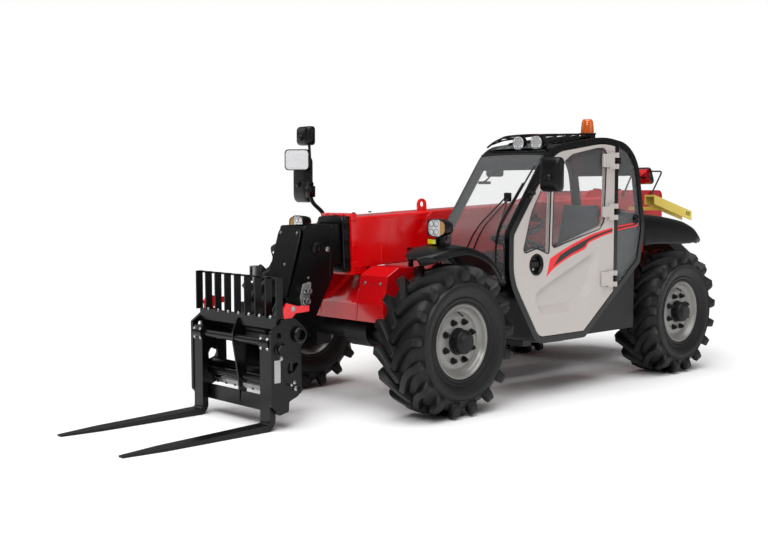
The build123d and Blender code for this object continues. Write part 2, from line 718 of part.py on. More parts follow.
def save_cab():
    """The cab with its glass, door and furniture."""
    save("cab_frame", cab_frame())
    skin = pane_skin()
    panes = {}
    for name, (y0, y1, z0, z1) in PANES.items():
        panes[name] = skin & block(WINDOW_X0, WINDOW_X1, y0, y1, z0, z1)
    save("windscreen", panes["windscreen"])
    x0 = CAB_X1 - 10 - GLASS_T
    quarter = cab_slab(CAB_RIM, x0, x0 + GLASS_T) & block(0, 2000, QUARTER_Y, 2500, 0, 2500)
    x0 = CAB_X0 + 10
    right = cab_slab(CAB_RIM + 14, x0, x0 + GLASS_T) & block(0, 2000, 0, 2500, SIDE_WINDOW_Z, 2500)
    save("cab_glass", Compound([panes["roof"], panes["rear"], quarter, right]))

    leaf = cab_slab(CAB_RIM + DOOR_GAP, CAB_X1 - DOOR_T, CAB_X1) & block(0, 2000, 0, DOOR_REAR, 0, 2500)
    upper = Plane.YZ.offset(CAB_X1 - DOOR_T - 1) * upper_door_window()
    front = Plane.YZ.offset(CAB_X1 - DOOR_T - 1) * front_door_window()
    leaf -= extrude(upper, DOOR_T + 2)
    leaf -= extrude(front, DOOR_T + 2)
    leaf -= bar_x(CAB_X1 - DOOR_T - 1, CAB_X1 + 1, HANDLE_Y, HANDLE_Z, HANDLE_R)
    leaf -= door_scoop()
    for z in HINGE_Z:
        leaf += bar_z(HINGE_X, DOOR_REAR, z - 62, z - 24, HINGE_R)
        leaf += bar_z(HINGE_X, DOOR_REAR, z + 24, z + 62, HINGE_R)
        for z0 in (z - 62, z + 24):
            leaf += block(CAB_X1 - 10, HINGE_X, DOOR_REAR - 90, DOOR_REAR, z0, z0 + 38)
        leaf -= bar_z(HINGE_X, DOOR_REAR, z - 63, z + 63, HINGE_PIN_R + PIN_PLAY)
    save("door", leaf)
    glass_x = CAB_X1 - DOOR_T / 2 - GLASS_T / 2
    panes = [
        extrude(Plane.YZ.offset(glass_x) * upper_door_window(), GLASS_T),
        extrude(Plane.YZ.offset(glass_x) * front_door_window(), GLASS_T),
    ]
    save("door_glass", Compound(panes))
    cup = bar_x(CAB_X1 - DOOR_T, CAB_X1 + 4, HANDLE_Y, HANDLE_Z, HANDLE_R)
    cup -= bar_x(CAB_X1 - DOOR_T + 6, CAB_X1 + 5, HANDLE_Y, HANDLE_Z, HANDLE_R - 9)
    reach = HANDLE_R - 5
    grip_x0, grip_x1 = CAB_X1 - DOOR_T + 3, CAB_X1 - 6
    cup += block(grip_x0, grip_x1, HANDLE_Y - reach, HANDLE_Y + reach, HANDLE_Z - 16, HANDLE_Z + 16)
    save("door_handle", cup)

    seat_x0, seat_x1 = SEAT_X - 240, SEAT_X + 240
    cushion_side = [(1150, 820, 30), (1150, 930, 50), (1560, 900, 40), (1600, 820, 20)]
    back_side = [(1510, 895, 30), (1640, 1500, 50), (1740, 1500, 40), (1640, 870, 30)]
    cushion = side_plate(cushion_side, seat_x0, seat_x1)
    back = side_plate(back_side, seat_x0 + 20, seat_x1 - 20)
    base = block(SEAT_X - 170, SEAT_X + 170, 1190, 1470, FLOOR_Z, 822)
    save("seat", cushion + back + base)
    column = rod((SEAT_X, 850, FLOOR_Z - 20), (SEAT_X, 930, 1090), 45)
    column += rod((SEAT_X, 925, 1075), (SEAT_X, 945, 1135), 18)
    column = column & block(0, 2000, 0, 2500, FLOOR_Z, 2500)
    tilt = Pos(SEAT_X, 945, 1135) * Rot(-18, 0, 0)
    wheel = tilt * Torus(STEERING_R, 14)
    for turn in (0, 120, 240):
        wheel += tilt * Rot(0, 0, turn + 90) * block(0, STEERING_R, -14, 14, -8, 6)
    save("steering_column", column + wheel + tilt * Cylinder(40, 30))
    console_side = [(1000, FLOOR_Z, 0), (960, 980, 60), (1500, 940, 60), (1470, FLOOR_Z, 0)]
    console = side_plate(console_side, CAB_X0 + CAB_WALL, SEAT_X - 250)
    lever = rod((CAB_X0 + 90, 1120, 960), (CAB_X0 + 100, 1090, 1110), 13)
    lever += Pos(CAB_X0 + 100, 1090, 1120) * Sphere(26)
    save("console", console + lever)


# ---------------------------------------------------------------- lamps and mirrors


def save_fittings():
    """Lamps, mirrors, beacon, the safety prop and the rear weights."""
    lamps = []
    for side in (1, -1):
        shape = block(LAMP_X - 100, LAMP_X + 100, -60, 60, LAMP_Z - 62, LAMP_Z + 62)
        shape = fillet(shape.edges().filter_by(Axis.Z), 30)
        stem = block(LAMP_X - 60, LAMP_X + 60, -35, 40, FENDER_Z, LAMP_Z - 60)
        lamps.append(shape + stem if side > 0 else mirror_x(shape + stem))
    save("headlamps", Compound(lamps))

    def head(x, y, z, wide, tall, deep):
        """A mirror's case, facing along Y."""
        case = block(x - wide / 2, x + wide / 2, y - deep / 2, y + deep / 2, z - tall / 2, z + tall / 2)
        return fillet(case.edges().filter_by(Axis.Y), 24)

    wide = 190
    left = head(MIRROR_REACH - wide / 2, 700, 1632, wide, 240, 52)
    elbow_x = MIRROR_REACH - wide + 35
    left += tube([(CAB_X1 - 8, 722, 1500), (elbow_x, 690, 1600), (elbow_x + 40, 700, 1632)], 20, 11)
    left -= cab_slab(0, CAB_X0, CAB_X1)
    wide = 250
    foot_x, stalk_x, stalk_y = -870, wide + 35 - MIRROR_REACH, 240
    stalk = [
        (foot_x, 95, FENDER_Z),
        (foot_x, 95, 1300),
        (stalk_x, stalk_y, 1440),
        (stalk_x, stalk_y, 1960),
        (stalk_x - 70, stalk_y - 10, 1960),
    ]
    right = tube(stalk, 40, 15)
    right += head(-MIRROR_REACH + wide / 2, stalk_y + 22, 1600, wide, 350, 60)
    right += block(-MIRROR_REACH + wide - 30, stalk_x + 5, stalk_y - 10, stalk_y + 10, 1590, 1610)
    right += head(stalk_x - 80, stalk_y - 40, 1900, 150, 150, 60)
    right += head(stalk_x - 80, stalk_y - 120, 1775, 170, 130, 50)
    right += rod((stalk_x, stalk_y, 1775), (stalk_x - 70, stalk_y - 100, 1775), 10)
    cheek_mid0, cheek_mid1 = CHEEK_IN0 - CHEEK_T / 2, CHEEK_IN1 + CHEEK_T / 2
    bow_y, bow_z = REAR_END - 32, CHEEK_TOP + 160
    foot_y = REAR_END - 212
    bow = [
        (cheek_mid0, foot_y, CHEEK_TOP),
        (cheek_mid0, bow_y, bow_z),
        (cheek_mid1, bow_y, bow_z),
        (cheek_mid1, foot_y, CHEEK_TOP),
    ]
    rear = tube(bow, 30, 9) + head(BOOM_X, bow_y - 10, bow_z + 10, 260, 150, 40)
    rear &= block(CHEEK_OUT0 - 50, CHEEK_OUT1 + 50, foot_y - 100, REAR_END + 50, CHEEK_TOP, bow_z + 200)
    save("mirrors", Compound([left, right, rear]))

    base_z = CAB_TOP - 27
    dome_z = base_z + 53
    top_z = base_z + BEACON_H
    beacon = bar_z(BEACON_X, BEACON_Y, base_z, dome_z, BEACON_BASE_R)
    beacon += bar_z(BEACON_X, BEACON_Y, dome_z, top_z, BEACON_R)
    save("beacon", fillet(beacon.edges().sort_by(Axis.Z)[-1], 20) - cab_slab(0, CAB_X0, CAB_X1))
    lights = []
    for x in (545, 720):
        light = bar_y(x, 1000, 1060, 1890, 58) + block(x - 15, x + 15, 1020, 1050, 1820, 1860)
        lights.append(light - cab_slab(0, CAB_X0, CAB_X1))
    save("roof_lights", Compound(lights))

    prop_y = WHEELBASE + 110
    channel = [(0, 1487), (600, 1340), (600, 1260), (0, 1407)]
    hollow = [(-10, 1475), (610, 1328), (610, 1200), (-10, 1350)]
    prop = plain_plate([(prop_y + y, z) for y, z in channel], PROP_X - 50, PROP_X + 50)
    prop -= plain_plate([(prop_y + y, z) for y, z in hollow], PROP_X - 42, PROP_X + 42)
    prop += block(CHEEK_OUT1, PROP_X - 46, prop_y + 260, prop_y + 310, 1350, 1380)
    save("safety_prop", prop)

    y0, y1 = REAR_END - 297, REAR_END - 22
    outline = [(y0, 600, 20), (y0, 1060, 20), (y1, 1060, 60), (y1, 700, 60), (y1 - 90, 600, 40)]
    left = side_plate(outline, CHEEK_OUT1, WEIGHT_HALF)
    right = side_plate(outline, -WEIGHT_HALF, CHEEK_OUT0)
    jaw = block(CHEEK_IN0, CHEEK_IN1, y0, TOW_Y + 60, TOW_Z - TOW_LEN / 2, TOW_Z + TOW_LEN / 2)
    gap0, gap1 = TOW_Z - TOW_JAW / 2, TOW_Z + TOW_JAW / 2
    jaw -= block(CHEEK_IN0 - 1, CHEEK_IN1 + 1, TOW_Y - 70, TOW_Y + 61, gap0, gap1)
    jaw -= bar_z(BOOM_X, TOW_Y, TOW_Z - TOW_LEN, TOW_Z + TOW_LEN, TOW_PIN_R)
    save("rear_weights", Compound([left, right, jaw]))


# ---------------------------------------------------------------- boom


def on_boom(shape):
    """Place a piece drawn with the pivot at the origin and the boom pointing along -Y."""
    return Pos(BOOM_X, PIVOT_Y, PIVOT_Z) * Rot(BOOM_DROP, 0, 0) * shape


def outer_boom():
    """The outer section: a box with its front sleeve and flange, pads, pivot boss and lift lugs."""
    half = OUTER_W / 2
    front = -OUTER_LEN
    body = block(-half, half, front, OUTER_TAIL, OUTER_BOTTOM, OUTER_TOP)
    body += block(-half, half, front, front + 140, OUTER_BOTTOM - 45, OUTER_BOTTOM)
    rim = half + FLANGE_RIM
    body += block(-rim, rim, front, front + FLANGE_T, OUTER_BOTTOM - 45, OUTER_TOP + 25)
    body = fillet(body.edges().filter_by(Axis.Y).filter_by(lambda e: e.length > 3000), 14)
    wall = OUTER_WALL
    inside = half - wall
    body -= block(-inside, inside, front - 1, OUTER_TAIL - 12, OUTER_BOTTOM + wall, OUTER_TOP - wall)
    gap = BOOM_PAD_PLAY
    pad_outer = block(-half + wall, half - wall, front, front + 110, OUTER_BOTTOM + wall, OUTER_TOP - wall)
    slot_half = INNER_W / 2 + gap
    slot_z0, slot_z1 = INNER_MID - INNER_H / 2 - gap, INNER_MID + INNER_H / 2 + gap
    pad_outer -= block(-slot_half, slot_half, front - 1, front + 120, slot_z0, slot_z1)
    body += pad_outer
    body += bar_x(-half - 14, half + 14, 0, 0, PIVOT_PIN_R + 35)
    body -= bar_x(-300, 300, 0, 0, PIVOT_PIN_R + PIN_PLAY)
    eye_y, eye_z = LIFT_EYE_Y - PIVOT_Y, LIFT_EYE_Z - PIVOT_Z
    a = radians(-BOOM_DROP)
    ly, lz = eye_y * cos(a) - eye_z * sin(a), eye_y * sin(a) + eye_z * cos(a)
    lug = [
        (ly - 110, OUTER_BOTTOM + 1, 0),
        (ly - 45, lz - 45, 40),
        (ly + 45, lz - 45, 40),
        (ly + 110, OUTER_BOTTOM + 1, 0),
    ]
    for x0 in (-LIFT_LUG_X - 10, LIFT_LUG_X - 10):
        body += side_plate(lug, x0, x0 + 20)
        body += bar_x(x0 - 8 if x0 < 0 else x0 + 20, x0 if x0 < 0 else x0 + 28, ly, lz, LIFT_PIN_R)
    half_eye, eye_y, eye_z = LIFTING_EYE_T / 2, -LIFTING_EYE_BACK, OUTER_TOP + 46
    eye = bar_x(-half_eye, half_eye, eye_y, eye_z, 46)
    eye += block(-half_eye, half_eye, eye_y - 46, eye_y + 46, OUTER_TOP - 2, eye_z)
    body += eye - bar_x(-half_eye - 1, half_eye + 1, eye_y, eye_z + 4, LIFTING_EYE_R)
    return on_boom(body)


def inner_boom():
    """The sliding section: a hollow box with wear pads round its rear end."""
    half, wall = INNER_W / 2, INNER_WALL
    z0, z1 = INNER_MID - INNER_H / 2, INNER_MID + INNER_H / 2
    body = block(-half, half, -INNER_FRONT, -INNER_BACK, z0, z1)
    body -= block(-half + wall, half - wall, -INNER_FRONT - 1, -INNER_BACK + 1, z0 + wall, z1 - wall)
    gap = BOOM_PAD_PLAY
    pad_half, slack = OUTER_W / 2 - OUTER_WALL - gap, OUTER_WALL + gap
    pad_y0, pad_y1 = -INNER_BACK - 110, -INNER_BACK
    pads = block(-pad_half, pad_half, pad_y0, pad_y1, OUTER_BOTTOM + slack, OUTER_TOP - slack)
    pads -= block(-half + 1, half - 1, -INNER_BACK - 120, -INNER_BACK + 1, z0 + 1, z1 - 1)
    return on_boom(body + pads)


def boom_collar():
    """The plastic collar on the front flange."""
    z0, z1 = INNER_MID - INNER_H / 2 - 4, INNER_MID + INNER_H / 2 + 4
    half = INNER_W / 2 + 4
    outer_half = OUTER_W / 2 - 6
    y0, y1 = -OUTER_LEN - COLLAR_L, -OUTER_LEN
    body = block(-outer_half, outer_half, y0, y1, OUTER_BOTTOM - 30, OUTER_TOP + 8)
    body = fillet(body.edges().filter_by(Axis.Y), 16)
    body -= block(-half, half, -OUTER_LEN - COLLAR_L - 1, -OUTER_LEN + 1, z0, z1)
    return on_boom(body)


def boom_head():
    """The head welded to the inner section: two side plates, the front and back plates and pins."""
    outline = [
        (-406, 1286, 10),
        (-418, 930, 60),
        (-640, 540, 80),
        (TILT_Y + 58, TILT_Z + 4, 0),
        (TILT_Y + 40, TILT_Z - 44, 50),
        (TILT_Y - 40, TILT_Z - 44, 50),
        (TILT_Y - 60, TILT_Z + 10, 0),
        (-812, 795, 60),
        (-711, 1095, 60),
        (-664, 1282, 20),
    ]
    x0, x1 = BOOM_X - HEAD_W / 2, BOOM_X + HEAD_W / 2
    body = side_plate(outline, x0, x0 + HEAD_T) + side_plate(outline, x1 - HEAD_T, x1)
    front = [(-812, 800), (-711, 1095), (-664, 1282), (-652, 1280), (-700, 1095), (-800, 800)]
    body += plain_plate(front, x0 + HEAD_T, x1 - HEAD_T)
    body += plain_plate([(-460, 860), (-470, 852), (-640, 556), (-628, 552)], x0 + HEAD_T, x1 - HEAD_T)
    body += bar_x(x0 - 6, x1 + 6, TILT_TOP_Y, TILT_TOP_Z, TILT_PIN_R)
    for a, b in ((x0 - 6, x0), (x1, x1 + 6)):
        body += bar_x(a, b, TILT_TOP_Y, TILT_TOP_Z, TILT_PIN_R + 22)
    body -= bar_x(x0 - 10, x1 + 10, TILT_Y, TILT_Z, TILT_PIN_R + PIN_PLAY)
    return body


def ram(base, eye, barrel_r, rod_r, pin_r, barrel_end, eye_half, stroke):
    """A hydraulic cylinder between two pins: its barrel with the base eye, and its rod and piston."""
    plane = Plane(origin=base, x_dir=(1, 0, 0), z_dir=Vector(*eye) - Vector(*base))
    length = (Vector(*eye) - Vector(*base)).length
    wall = barrel_r * 0.17
    eye_r = pin_r + 18
    start = eye_r + 14
    across = Rot(0, 90, 0)

    def along(z0, z1, r):
        return Pos(0, 0, (z0 + z1) / 2) * Cylinder(r, z1 - z0)

    barrel = along(0, start, rod_r) + across * Cylinder(eye_r, 2 * eye_half)
    barrel += along(start - 12, barrel_end, barrel_r)
    barrel += along(barrel_end - 30, barrel_end, barrel_r + 6)
    barrel -= along(start, barrel_end - 45, barrel_r - wall)
    barrel -= along(start, barrel_end + 1, rod_r + PIN_PLAY)
    barrel -= across * Cylinder(pin_r + PIN_PLAY, 2 * eye_half + 2)
    piston_z = barrel_end - 45 - stroke - PISTON_L - 12
    piece = along(piston_z, length - pin_r - 6, rod_r)
    piece += along(piston_z, piston_z + PISTON_L, barrel_r - wall - PIN_PLAY)
    piece += Pos(0, 0, length) * across * Cylinder(eye_r, 2 * eye_half)
    piece -= Pos(0, 0, length) * across * Cylinder(pin_r + PIN_PLAY, 2 * eye_half + 2)
    return plane * barrel, plane * piece


def save_boom():
    """The boom's sections, its head and the two cylinders."""
    save("outer_boom", outer_boom())
    save("inner_boom", inner_boom())
    save("boom_collar", boom_collar())
    save("boom_head", boom_head())
    base, eye = (BOOM_X, LIFT_BASE_Y, LIFT_BASE_Z), (BOOM_X, LIFT_EYE_Y, LIFT_EYE_Z)
    barrel, piston = ram(base, eye, LIFT_BARREL_R, LIFT_ROD_R, LIFT_PIN_R, LIFT_BARREL_END, 40, LIFT_STROKE)
    save("lift_barrel", barrel)
    save("lift_rod", piston)
    base, eye = (BOOM_X, TILT_TOP_Y, TILT_TOP_Z), (BOOM_X, TILT_EYE_Y, TILT_EYE_Z)
    barrel, piston = ram(base, eye, TILT_BARREL_R, TILT_ROD_R, TILT_PIN_R, TILT_BARREL_END, 28, TILT_STROKE)
    save("tilt_barrel", barrel)
    save("tilt_rod", piston)


# ---------------------------------------------------------------- hitch, carriage and forks


def hitch_frame():
    """The quick-fit frame that carries the fork carriage on the boom head."""
    x0, x1 = CARRIAGE_X0 + CARRIAGE_T, CARRIAGE_X1 - CARRIAGE_T
    frame = bar_x(x0, x1, HOOK_Y, HOOK_Z, HOOK_R) + bar_x(x0, x1, LOCK_Y, LOCK_Z, LOCK_R + 12)
    arm = [
        (HOOK_Y - 36, HOOK_Z + 36, 30),
        (HOOK_Y + 60, HOOK_Z + 30, 30),
        (TILT_Y + 62, TILT_Z + 20, 40),
        (TILT_Y + 50, TILT_Z - 58, 50),
        (LOCK_Y - 40, LOCK_Z - 40, 30),
    ]
    inner = HEAD_W / 2 + BODY_PLAY
    for a in (BOOM_X - inner - 22, BOOM_X + inner):
        frame += side_plate(arm, a, a + 22)
    cheek = [
        (HOOK_Y - 36, HOOK_Z + 36, 20),
        (HOOK_Y + 40, HOOK_Z + 36, 20),
        (LOCK_Y + 40, LOCK_Z - 40, 20),
        (LOCK_Y - 36, LOCK_Z - 40, 20),
    ]
    for a in (x0, x1 - 20):
        frame += side_plate(cheek, a, a + 20)
    frame += bar_x(BOOM_X - inner - 34, BOOM_X + inner + 34, TILT_Y, TILT_Z, TILT_PIN_R)
    lug = [
        (HOOK_Y - 10, HOOK_Z + 26, 10),
        (TILT_EYE_Y + 30, TILT_EYE_Z + 30, 28),
        (TILT_EYE_Y + 30, TILT_EYE_Z - 34, 28),
        (HOOK_Y - 6, HOOK_Z - 26, 10),
    ]
    for side in (-1, 1):
        a = BOOM_X + side * TILT_LUG_X - 8
        frame += side_plate(lug, a, a + 16)
    frame += block(x0, x1, HOOK_Y - 14, HOOK_Y + 2, HOOK_Z - 110, HOOK_Z)
    return frame


def carriage_frame():
    """The fork carriage: two side plates, the fork shaft, cross members and the middle rib."""
    outline = [
        (-1200, 633, 20),
        (-1087, 712, 30),
        (-1012, 712, 30),
        (-922, 640, 45),
        (-922, 560, 45),
        (-966, 520, 20),
        (-966, 215, 50),
        (-1058, 180, 10),
        (-1062, 116, 10),
        (-1140, 100, 20),
        (-1200, 167, 20),
    ]
    slot = [(-1156, 590, 4), (-1156, 630, 17), (-1122, 630, 17), (-1122, 590, 4)]
    notch = [
        (-1070, 352, 12),
        (-1010, 372, 20),
        (-978, 428, 8),
        (-1018, 420, 16),
        (-1050, 440, 14),
        (-1074, 400, 18),
    ]
    x0, x1 = CARRIAGE_X0, CARRIAGE_X1
    plate = side_plate(outline, x0, x0 + CARRIAGE_T)
    plate -= side_plate(slot, x0 - 1, x0 + CARRIAGE_T + 1) + side_plate(notch, x0 - 1, x0 + CARRIAGE_T + 1)
    frame = plate + Pos(x1 - CARRIAGE_T - x0, 0, 0) * plate
    frame += bar_x(x0 + CARRIAGE_T, x1 - CARRIAGE_T, SHAFT_Y, SHAFT_Z, SHAFT_R)
    frame += bar_x(x0 + CARRIAGE_T, x1 - CARRIAGE_T, -1110, 300, 22)
    frame += block(x0 + CARRIAGE_T, x1 - CARRIAGE_T, -1140, -1120, 645, 700)
    frame += block(x0 + CARRIAGE_T, x1 - CARRIAGE_T, -1136, -1120, 108, 206)
    rib = [
        (-1192, 600),
        (-1150, 690),
        (-1120, 690),
        (-1090, 620),
        (-1084, 200),
        (-1120, 112),
        (-1136, 112),
        (-1150, 300),
        (-1192, 540),
    ]
    frame += plain_plate(rib, RIB_X - 7, RIB_X + 7)
    for a, b in ((x0 - 16, x0), (x1, x1 + 16)):
        boss = bar_x(a, b, HOOK_Y, HOOK_Z, 52)
        frame += boss
    frame -= bar_x(x0 - 17, x0 + CARRIAGE_T, HOOK_Y, HOOK_Z, HOOK_BORE_R)
    frame -= bar_x(x1 - CARRIAGE_T, x1 + 17, HOOK_Y, HOOK_Z, HOOK_BORE_R)
    for a, b in ((x0 - 34, x0 + CARRIAGE_T), (x1 - CARRIAGE_T, x1 + 34)):
        frame += bar_x(a, b, LOCK_Y - 14, LOCK_Z, 13)
    return frame


def backrest():
    """The load backrest: upright flat bars under a top bar, standing on the carriage."""
    x0, x1 = CARRIAGE_X0, CARRIAGE_X1
    rest = block(x0, x1, BACKREST_Y - 6, BACKREST_Y + 6, BACKREST_TOP - 12, BACKREST_TOP)
    rest += block(x0 + CARRIAGE_T, x1 - CARRIAGE_T, BACKREST_Y - 15, BACKREST_Y + 5, 700, 720)
    pitch = (x1 - x0 - BAR_T) / (BARS - 1)
    for i in range(BARS):
        x = x0 + pitch * i
        rest += block(x, x + BAR_T, BACKREST_Y - 30, BACKREST_Y + 20, 714, BACKREST_TOP)
    return rest


def fork(x):
    """One fork: the eye on the shaft, the shank and the tapered blade with its pointed tip."""
    heel = FORK_Y + FORK_T
    outline = [
        (heel, 0, 70),
        (heel, SHAFT_Z - 30, 5),
        (FORK_Y, SHAFT_Z - 30, 5),
        (FORK_Y, FORK_T, 16),
        (FORK_TIP, 12, 4),
        (FORK_TIP, 0, 3),
    ]
    body = side_plate(outline, x - FORK_W / 2, x + FORK_W / 2)
    taper_y = FORK_TIP + 260
    edge = x - FORK_W / 2 + 1
    point = [(x - 160, FORK_TIP - 40), (x - 22, FORK_TIP), (edge, taper_y), (x - 160, taper_y)]
    for sign in (1, -1):
        face = make_face(Polyline(*[(x + sign * (px - x), py) for px, py in point], close=True))
        body -= extrude(Plane.XY.offset(-10) * face, 100)
    body += bar_x(x - FORK_W / 2, x + FORK_W / 2, SHAFT_Y, SHAFT_Z, SHAFT_R + 20)
    return body - bar_x(x - FORK_W / 2 - 1, x + FORK_W / 2 + 1, SHAFT_Y, SHAFT_Z, SHAFT_R)


def latch_levers():
    """The two red levers on top of the carriage's side plates."""
    levers = []
    for x in (CARRIAGE_X0 + CARRIAGE_T / 2, CARRIAGE_X1 - CARRIAGE_T / 2):
        outline = [
            (-1094, 712, 4),
            (-1098, 765, 8),
            (-1068, 809, 8),
            (-985, 785, 10),
            (-885, 782, 6),
            (-888, 745, 6),
            (-1000, 740, 10),
            (-1030, 712, 4),
        ]
        levers.append(side_plate(outline, x - 8, x + 8))
    return Compound(levers)


def save_carriage():
    """The hitch, the fork carriage and its forks."""
    save("hitch_frame", hitch_frame())
    save("carriage_frame", carriage_frame())
    save("backrest", backrest())
    for name, x in (("fork_right", FORK_X[0]), ("fork_left", FORK_X[1])):
        save(name, fork(x))
    save("latch_levers", latch_levers())


if __name__ == "__main__":
    os.makedirs("parts", exist_ok=True)
    save_wheels()
    save_chassis()
    save_cab()
    save_fittings()
    save_boom()
    save_carriage()
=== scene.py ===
"""Looks of a compact telescopic handler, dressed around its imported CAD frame.

Metres, in the frame's own axes: +X is the machine's left, +Y its rear and +Z up, with the origin
under the middle of the machine. Lengths measured along the machine are given from the front axle
line, as dressed() takes them.
"""

from math import atan2, cos, pi, radians, sin

import bmesh
import bpy
import numpy as np
from bpy.props import FloatProperty, FloatVectorProperty, IntProperty, PointerProperty
from bpy.types import Operator, Panel, PropertyGroup
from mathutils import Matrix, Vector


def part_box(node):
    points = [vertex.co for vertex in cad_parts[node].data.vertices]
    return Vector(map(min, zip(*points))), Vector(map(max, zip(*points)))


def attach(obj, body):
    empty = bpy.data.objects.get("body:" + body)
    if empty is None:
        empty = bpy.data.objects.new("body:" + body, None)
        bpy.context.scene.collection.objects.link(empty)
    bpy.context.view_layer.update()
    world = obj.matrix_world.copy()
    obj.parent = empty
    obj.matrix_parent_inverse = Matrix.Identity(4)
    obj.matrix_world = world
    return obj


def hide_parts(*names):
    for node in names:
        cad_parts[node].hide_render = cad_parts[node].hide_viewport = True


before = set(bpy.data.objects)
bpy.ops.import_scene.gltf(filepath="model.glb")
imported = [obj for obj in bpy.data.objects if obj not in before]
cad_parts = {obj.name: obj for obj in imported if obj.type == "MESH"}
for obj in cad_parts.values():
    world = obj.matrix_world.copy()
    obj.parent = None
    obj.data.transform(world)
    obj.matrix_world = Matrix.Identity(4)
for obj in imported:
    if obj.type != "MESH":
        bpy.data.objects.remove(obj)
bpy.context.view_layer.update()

bl_info = {
    "name": "Telescopic Handler",
    "version": (1, 0, 0),
    "blender": (4, 5, 0),
    "location": "3D View > Sidebar > Handler",
    "description": "Dresses the frame of a compact telescopic handler with its finished pieces",
    "category": "Object",
}

# ---------------------------------------------------------------- places read from the frame


def middle(node):
    """The middle of a CAD node's box."""
    low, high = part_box(node)
    return np.array((low + high) / 2)


HINGE_PROUD = 0.035             # how far the door's hinges stand out of its skin
MM = 1000                       # millimetres in a metre
AXLE_Y = middle("tyre_fl")[1]
WHEELBASE = middle("tyre_rl")[1] - AXLE_Y
CORNERS = (("fl", 1), ("fr", -1), ("rl", 1), ("rr", -1))
DOOR_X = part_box("cab_frame")[1][0] - HINGE_PROUD
BOOM_X = middle("inner_boom")[0]
BOOM_DROP = radians(2.4)        # how far the lowered boom points down


def spot_box(node):
    """The lowest and highest corners of a CAD node, measured from the front axle line."""
    low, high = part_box(node)
    return np.array(low) - (0, AXLE_Y, 0), np.array(high) - (0, AXLE_Y, 0)


# ---------------------------------------------------------------- surfaces as arrays


def quads(rows, columns, loop_rows=False, loop_columns=False):
    """Faces of a grid: each takes points (i, j), (i, j+1), (i+1, j+1) and (i+1, j); a looped
    direction joins its last line to its first."""
    i, j = np.meshgrid(
        np.arange(rows if loop_rows else rows - 1),
        np.arange(columns if loop_columns else columns - 1),
        indexing="ij",
    )
    after_i, after_j = (i + 1) % rows, (j + 1) % columns
    corners = [i * columns + j, i * columns + after_j, after_i * columns + after_j, after_i * columns + j]
    return np.stack(corners, -1).reshape(-1, 4)


def sheet_of(points, loop_rows=False, loop_columns=False, caps=False):
    """A surface from a grid of points (rows, columns, 3); caps close the first and last rows."""
    rows, columns = points.shape[:2]
    faces = [tuple(f) for f in quads(rows, columns, loop_rows, loop_columns).tolist()]
    if caps:
        faces.append(tuple(range(columns)))
        faces.append(tuple(range((rows - 1) * columns, rows * columns))[::-1])
    return points.reshape(-1, 3), faces


def joined(*surfaces):
    """Several surfaces as one, each one's faces shifted past the points before it."""
    points, faces, count = [], [], 0
    for p, f in surfaces:
        points.append(np.asarray(p, float))
        faces += [tuple(i + count for i in face) for face in f]
        count += len(p)
    return np.concatenate(points), faces


def moved(surface, offset):
    """A surface shifted by an offset."""
    return surface[0] + np.asarray(offset, float), surface[1]


def mirrored(surface):
    """A surface on the other side of the plane x = 0, with its faces turned to point outwards."""
    return surface[0] * (-1, 1, 1), [f[::-1] for f in surface[1]]


def opposite(parts):
    """Parts of (surface, finish) on the other side of the plane x = 0."""
    return [(mirrored(s), m) for s, m in parts]


def rotated(surface, angle, axis=(1, 0, 0), about=(0, 0, 0)):
    """A surface turned by an angle round an axis: p' = p cos + (k x p) sin + k (k . p)(1 - cos)."""
    k = np.array(axis, float) / np.linalg.norm(axis)
    p = surface[0] - np.asarray(about, float)
    turned_p = p * cos(angle) + np.cross(k, p) * sin(angle) + np.outer(p @ k, k) * (1 - cos(angle))
    return turned_p + np.asarray(about, float), surface[1]


def basis(axis):
    """Two directions square to an axis and to each other."""
    w = np.array(axis, float) / np.linalg.norm(axis)
    helper = np.array((0, 0, 1.0)) if abs(w[2]) < 0.9 else np.array((0, 1.0, 0))
    u = np.cross(helper, w)
    u /= np.linalg.norm(u)
    return u, np.cross(w, u), w


def turned(profile, centre, axis=(1, 0, 0), sides=48, closed=False):
    """A profile of (height, radius) pairs carried round an axis: p = centre + h w + r (u cos a + v sin a).
    An open profile gets flat ends; a closed one makes a ring."""
    u, v, w = basis(axis)
    h, r = np.array(profile, float).T
    a = np.arange(sides) * 2 * pi / sides
    spokes = np.cos(a)[:, None] * u + np.sin(a)[:, None] * v
    points = np.asarray(centre) + h[:, None, None] * w + r[:, None, None] * spokes[None]
    return sheet_of(points, loop_rows=closed, loop_columns=True, caps=not closed)


def button(centre, axis, radius, rise, top, height, sides=16):
    """A low round head: a turned drum of a radius up to its rise, drawn in to its top at its height."""
    return turned(((0, radius), (rise, radius), (height, top)), centre, axis, sides)


def rounded(corners, steps=5):
    """An outline whose corners (a, b, radius) become arcs: each arc runs about a centre on the
    corner's bisector, between the two points where it touches the sides."""
    c = np.array(corners, float)
    p, radius = c[:, :2], c[:, 2]
    back, ahead = np.roll(p, 1, 0) - p, np.roll(p, -1, 0) - p
    lb, la = np.linalg.norm(back, axis=1), np.linalg.norm(ahead, axis=1)
    back, ahead = back / lb[:, None], ahead / la[:, None]
    half = np.arccos(np.clip((back * ahead).sum(1), -1, 1)) / 2
    radius = np.maximum(np.minimum(radius, 0.49 * np.minimum(lb, la) * np.tan(half)), 1e-5)
    bisector = back + ahead
    bisector /= np.linalg.norm(bisector, axis=1)[:, None]
    centre = p + bisector * (radius / np.sin(half))[:, None]
    start = p + back * (radius / np.tan(half))[:, None] - centre
    end = p + ahead * (radius / np.tan(half))[:, None] - centre
    sweep = (pi - 2 * half)[:, None, None]
    t = np.linspace(0, 1, steps)[None, :, None]
    arc = (np.sin((1 - t) * sweep) * start[:, None] + np.sin(t * sweep) * end[:, None]) / np.sin(sweep)
    return (centre[:, None] + arc).reshape(-1, 2)


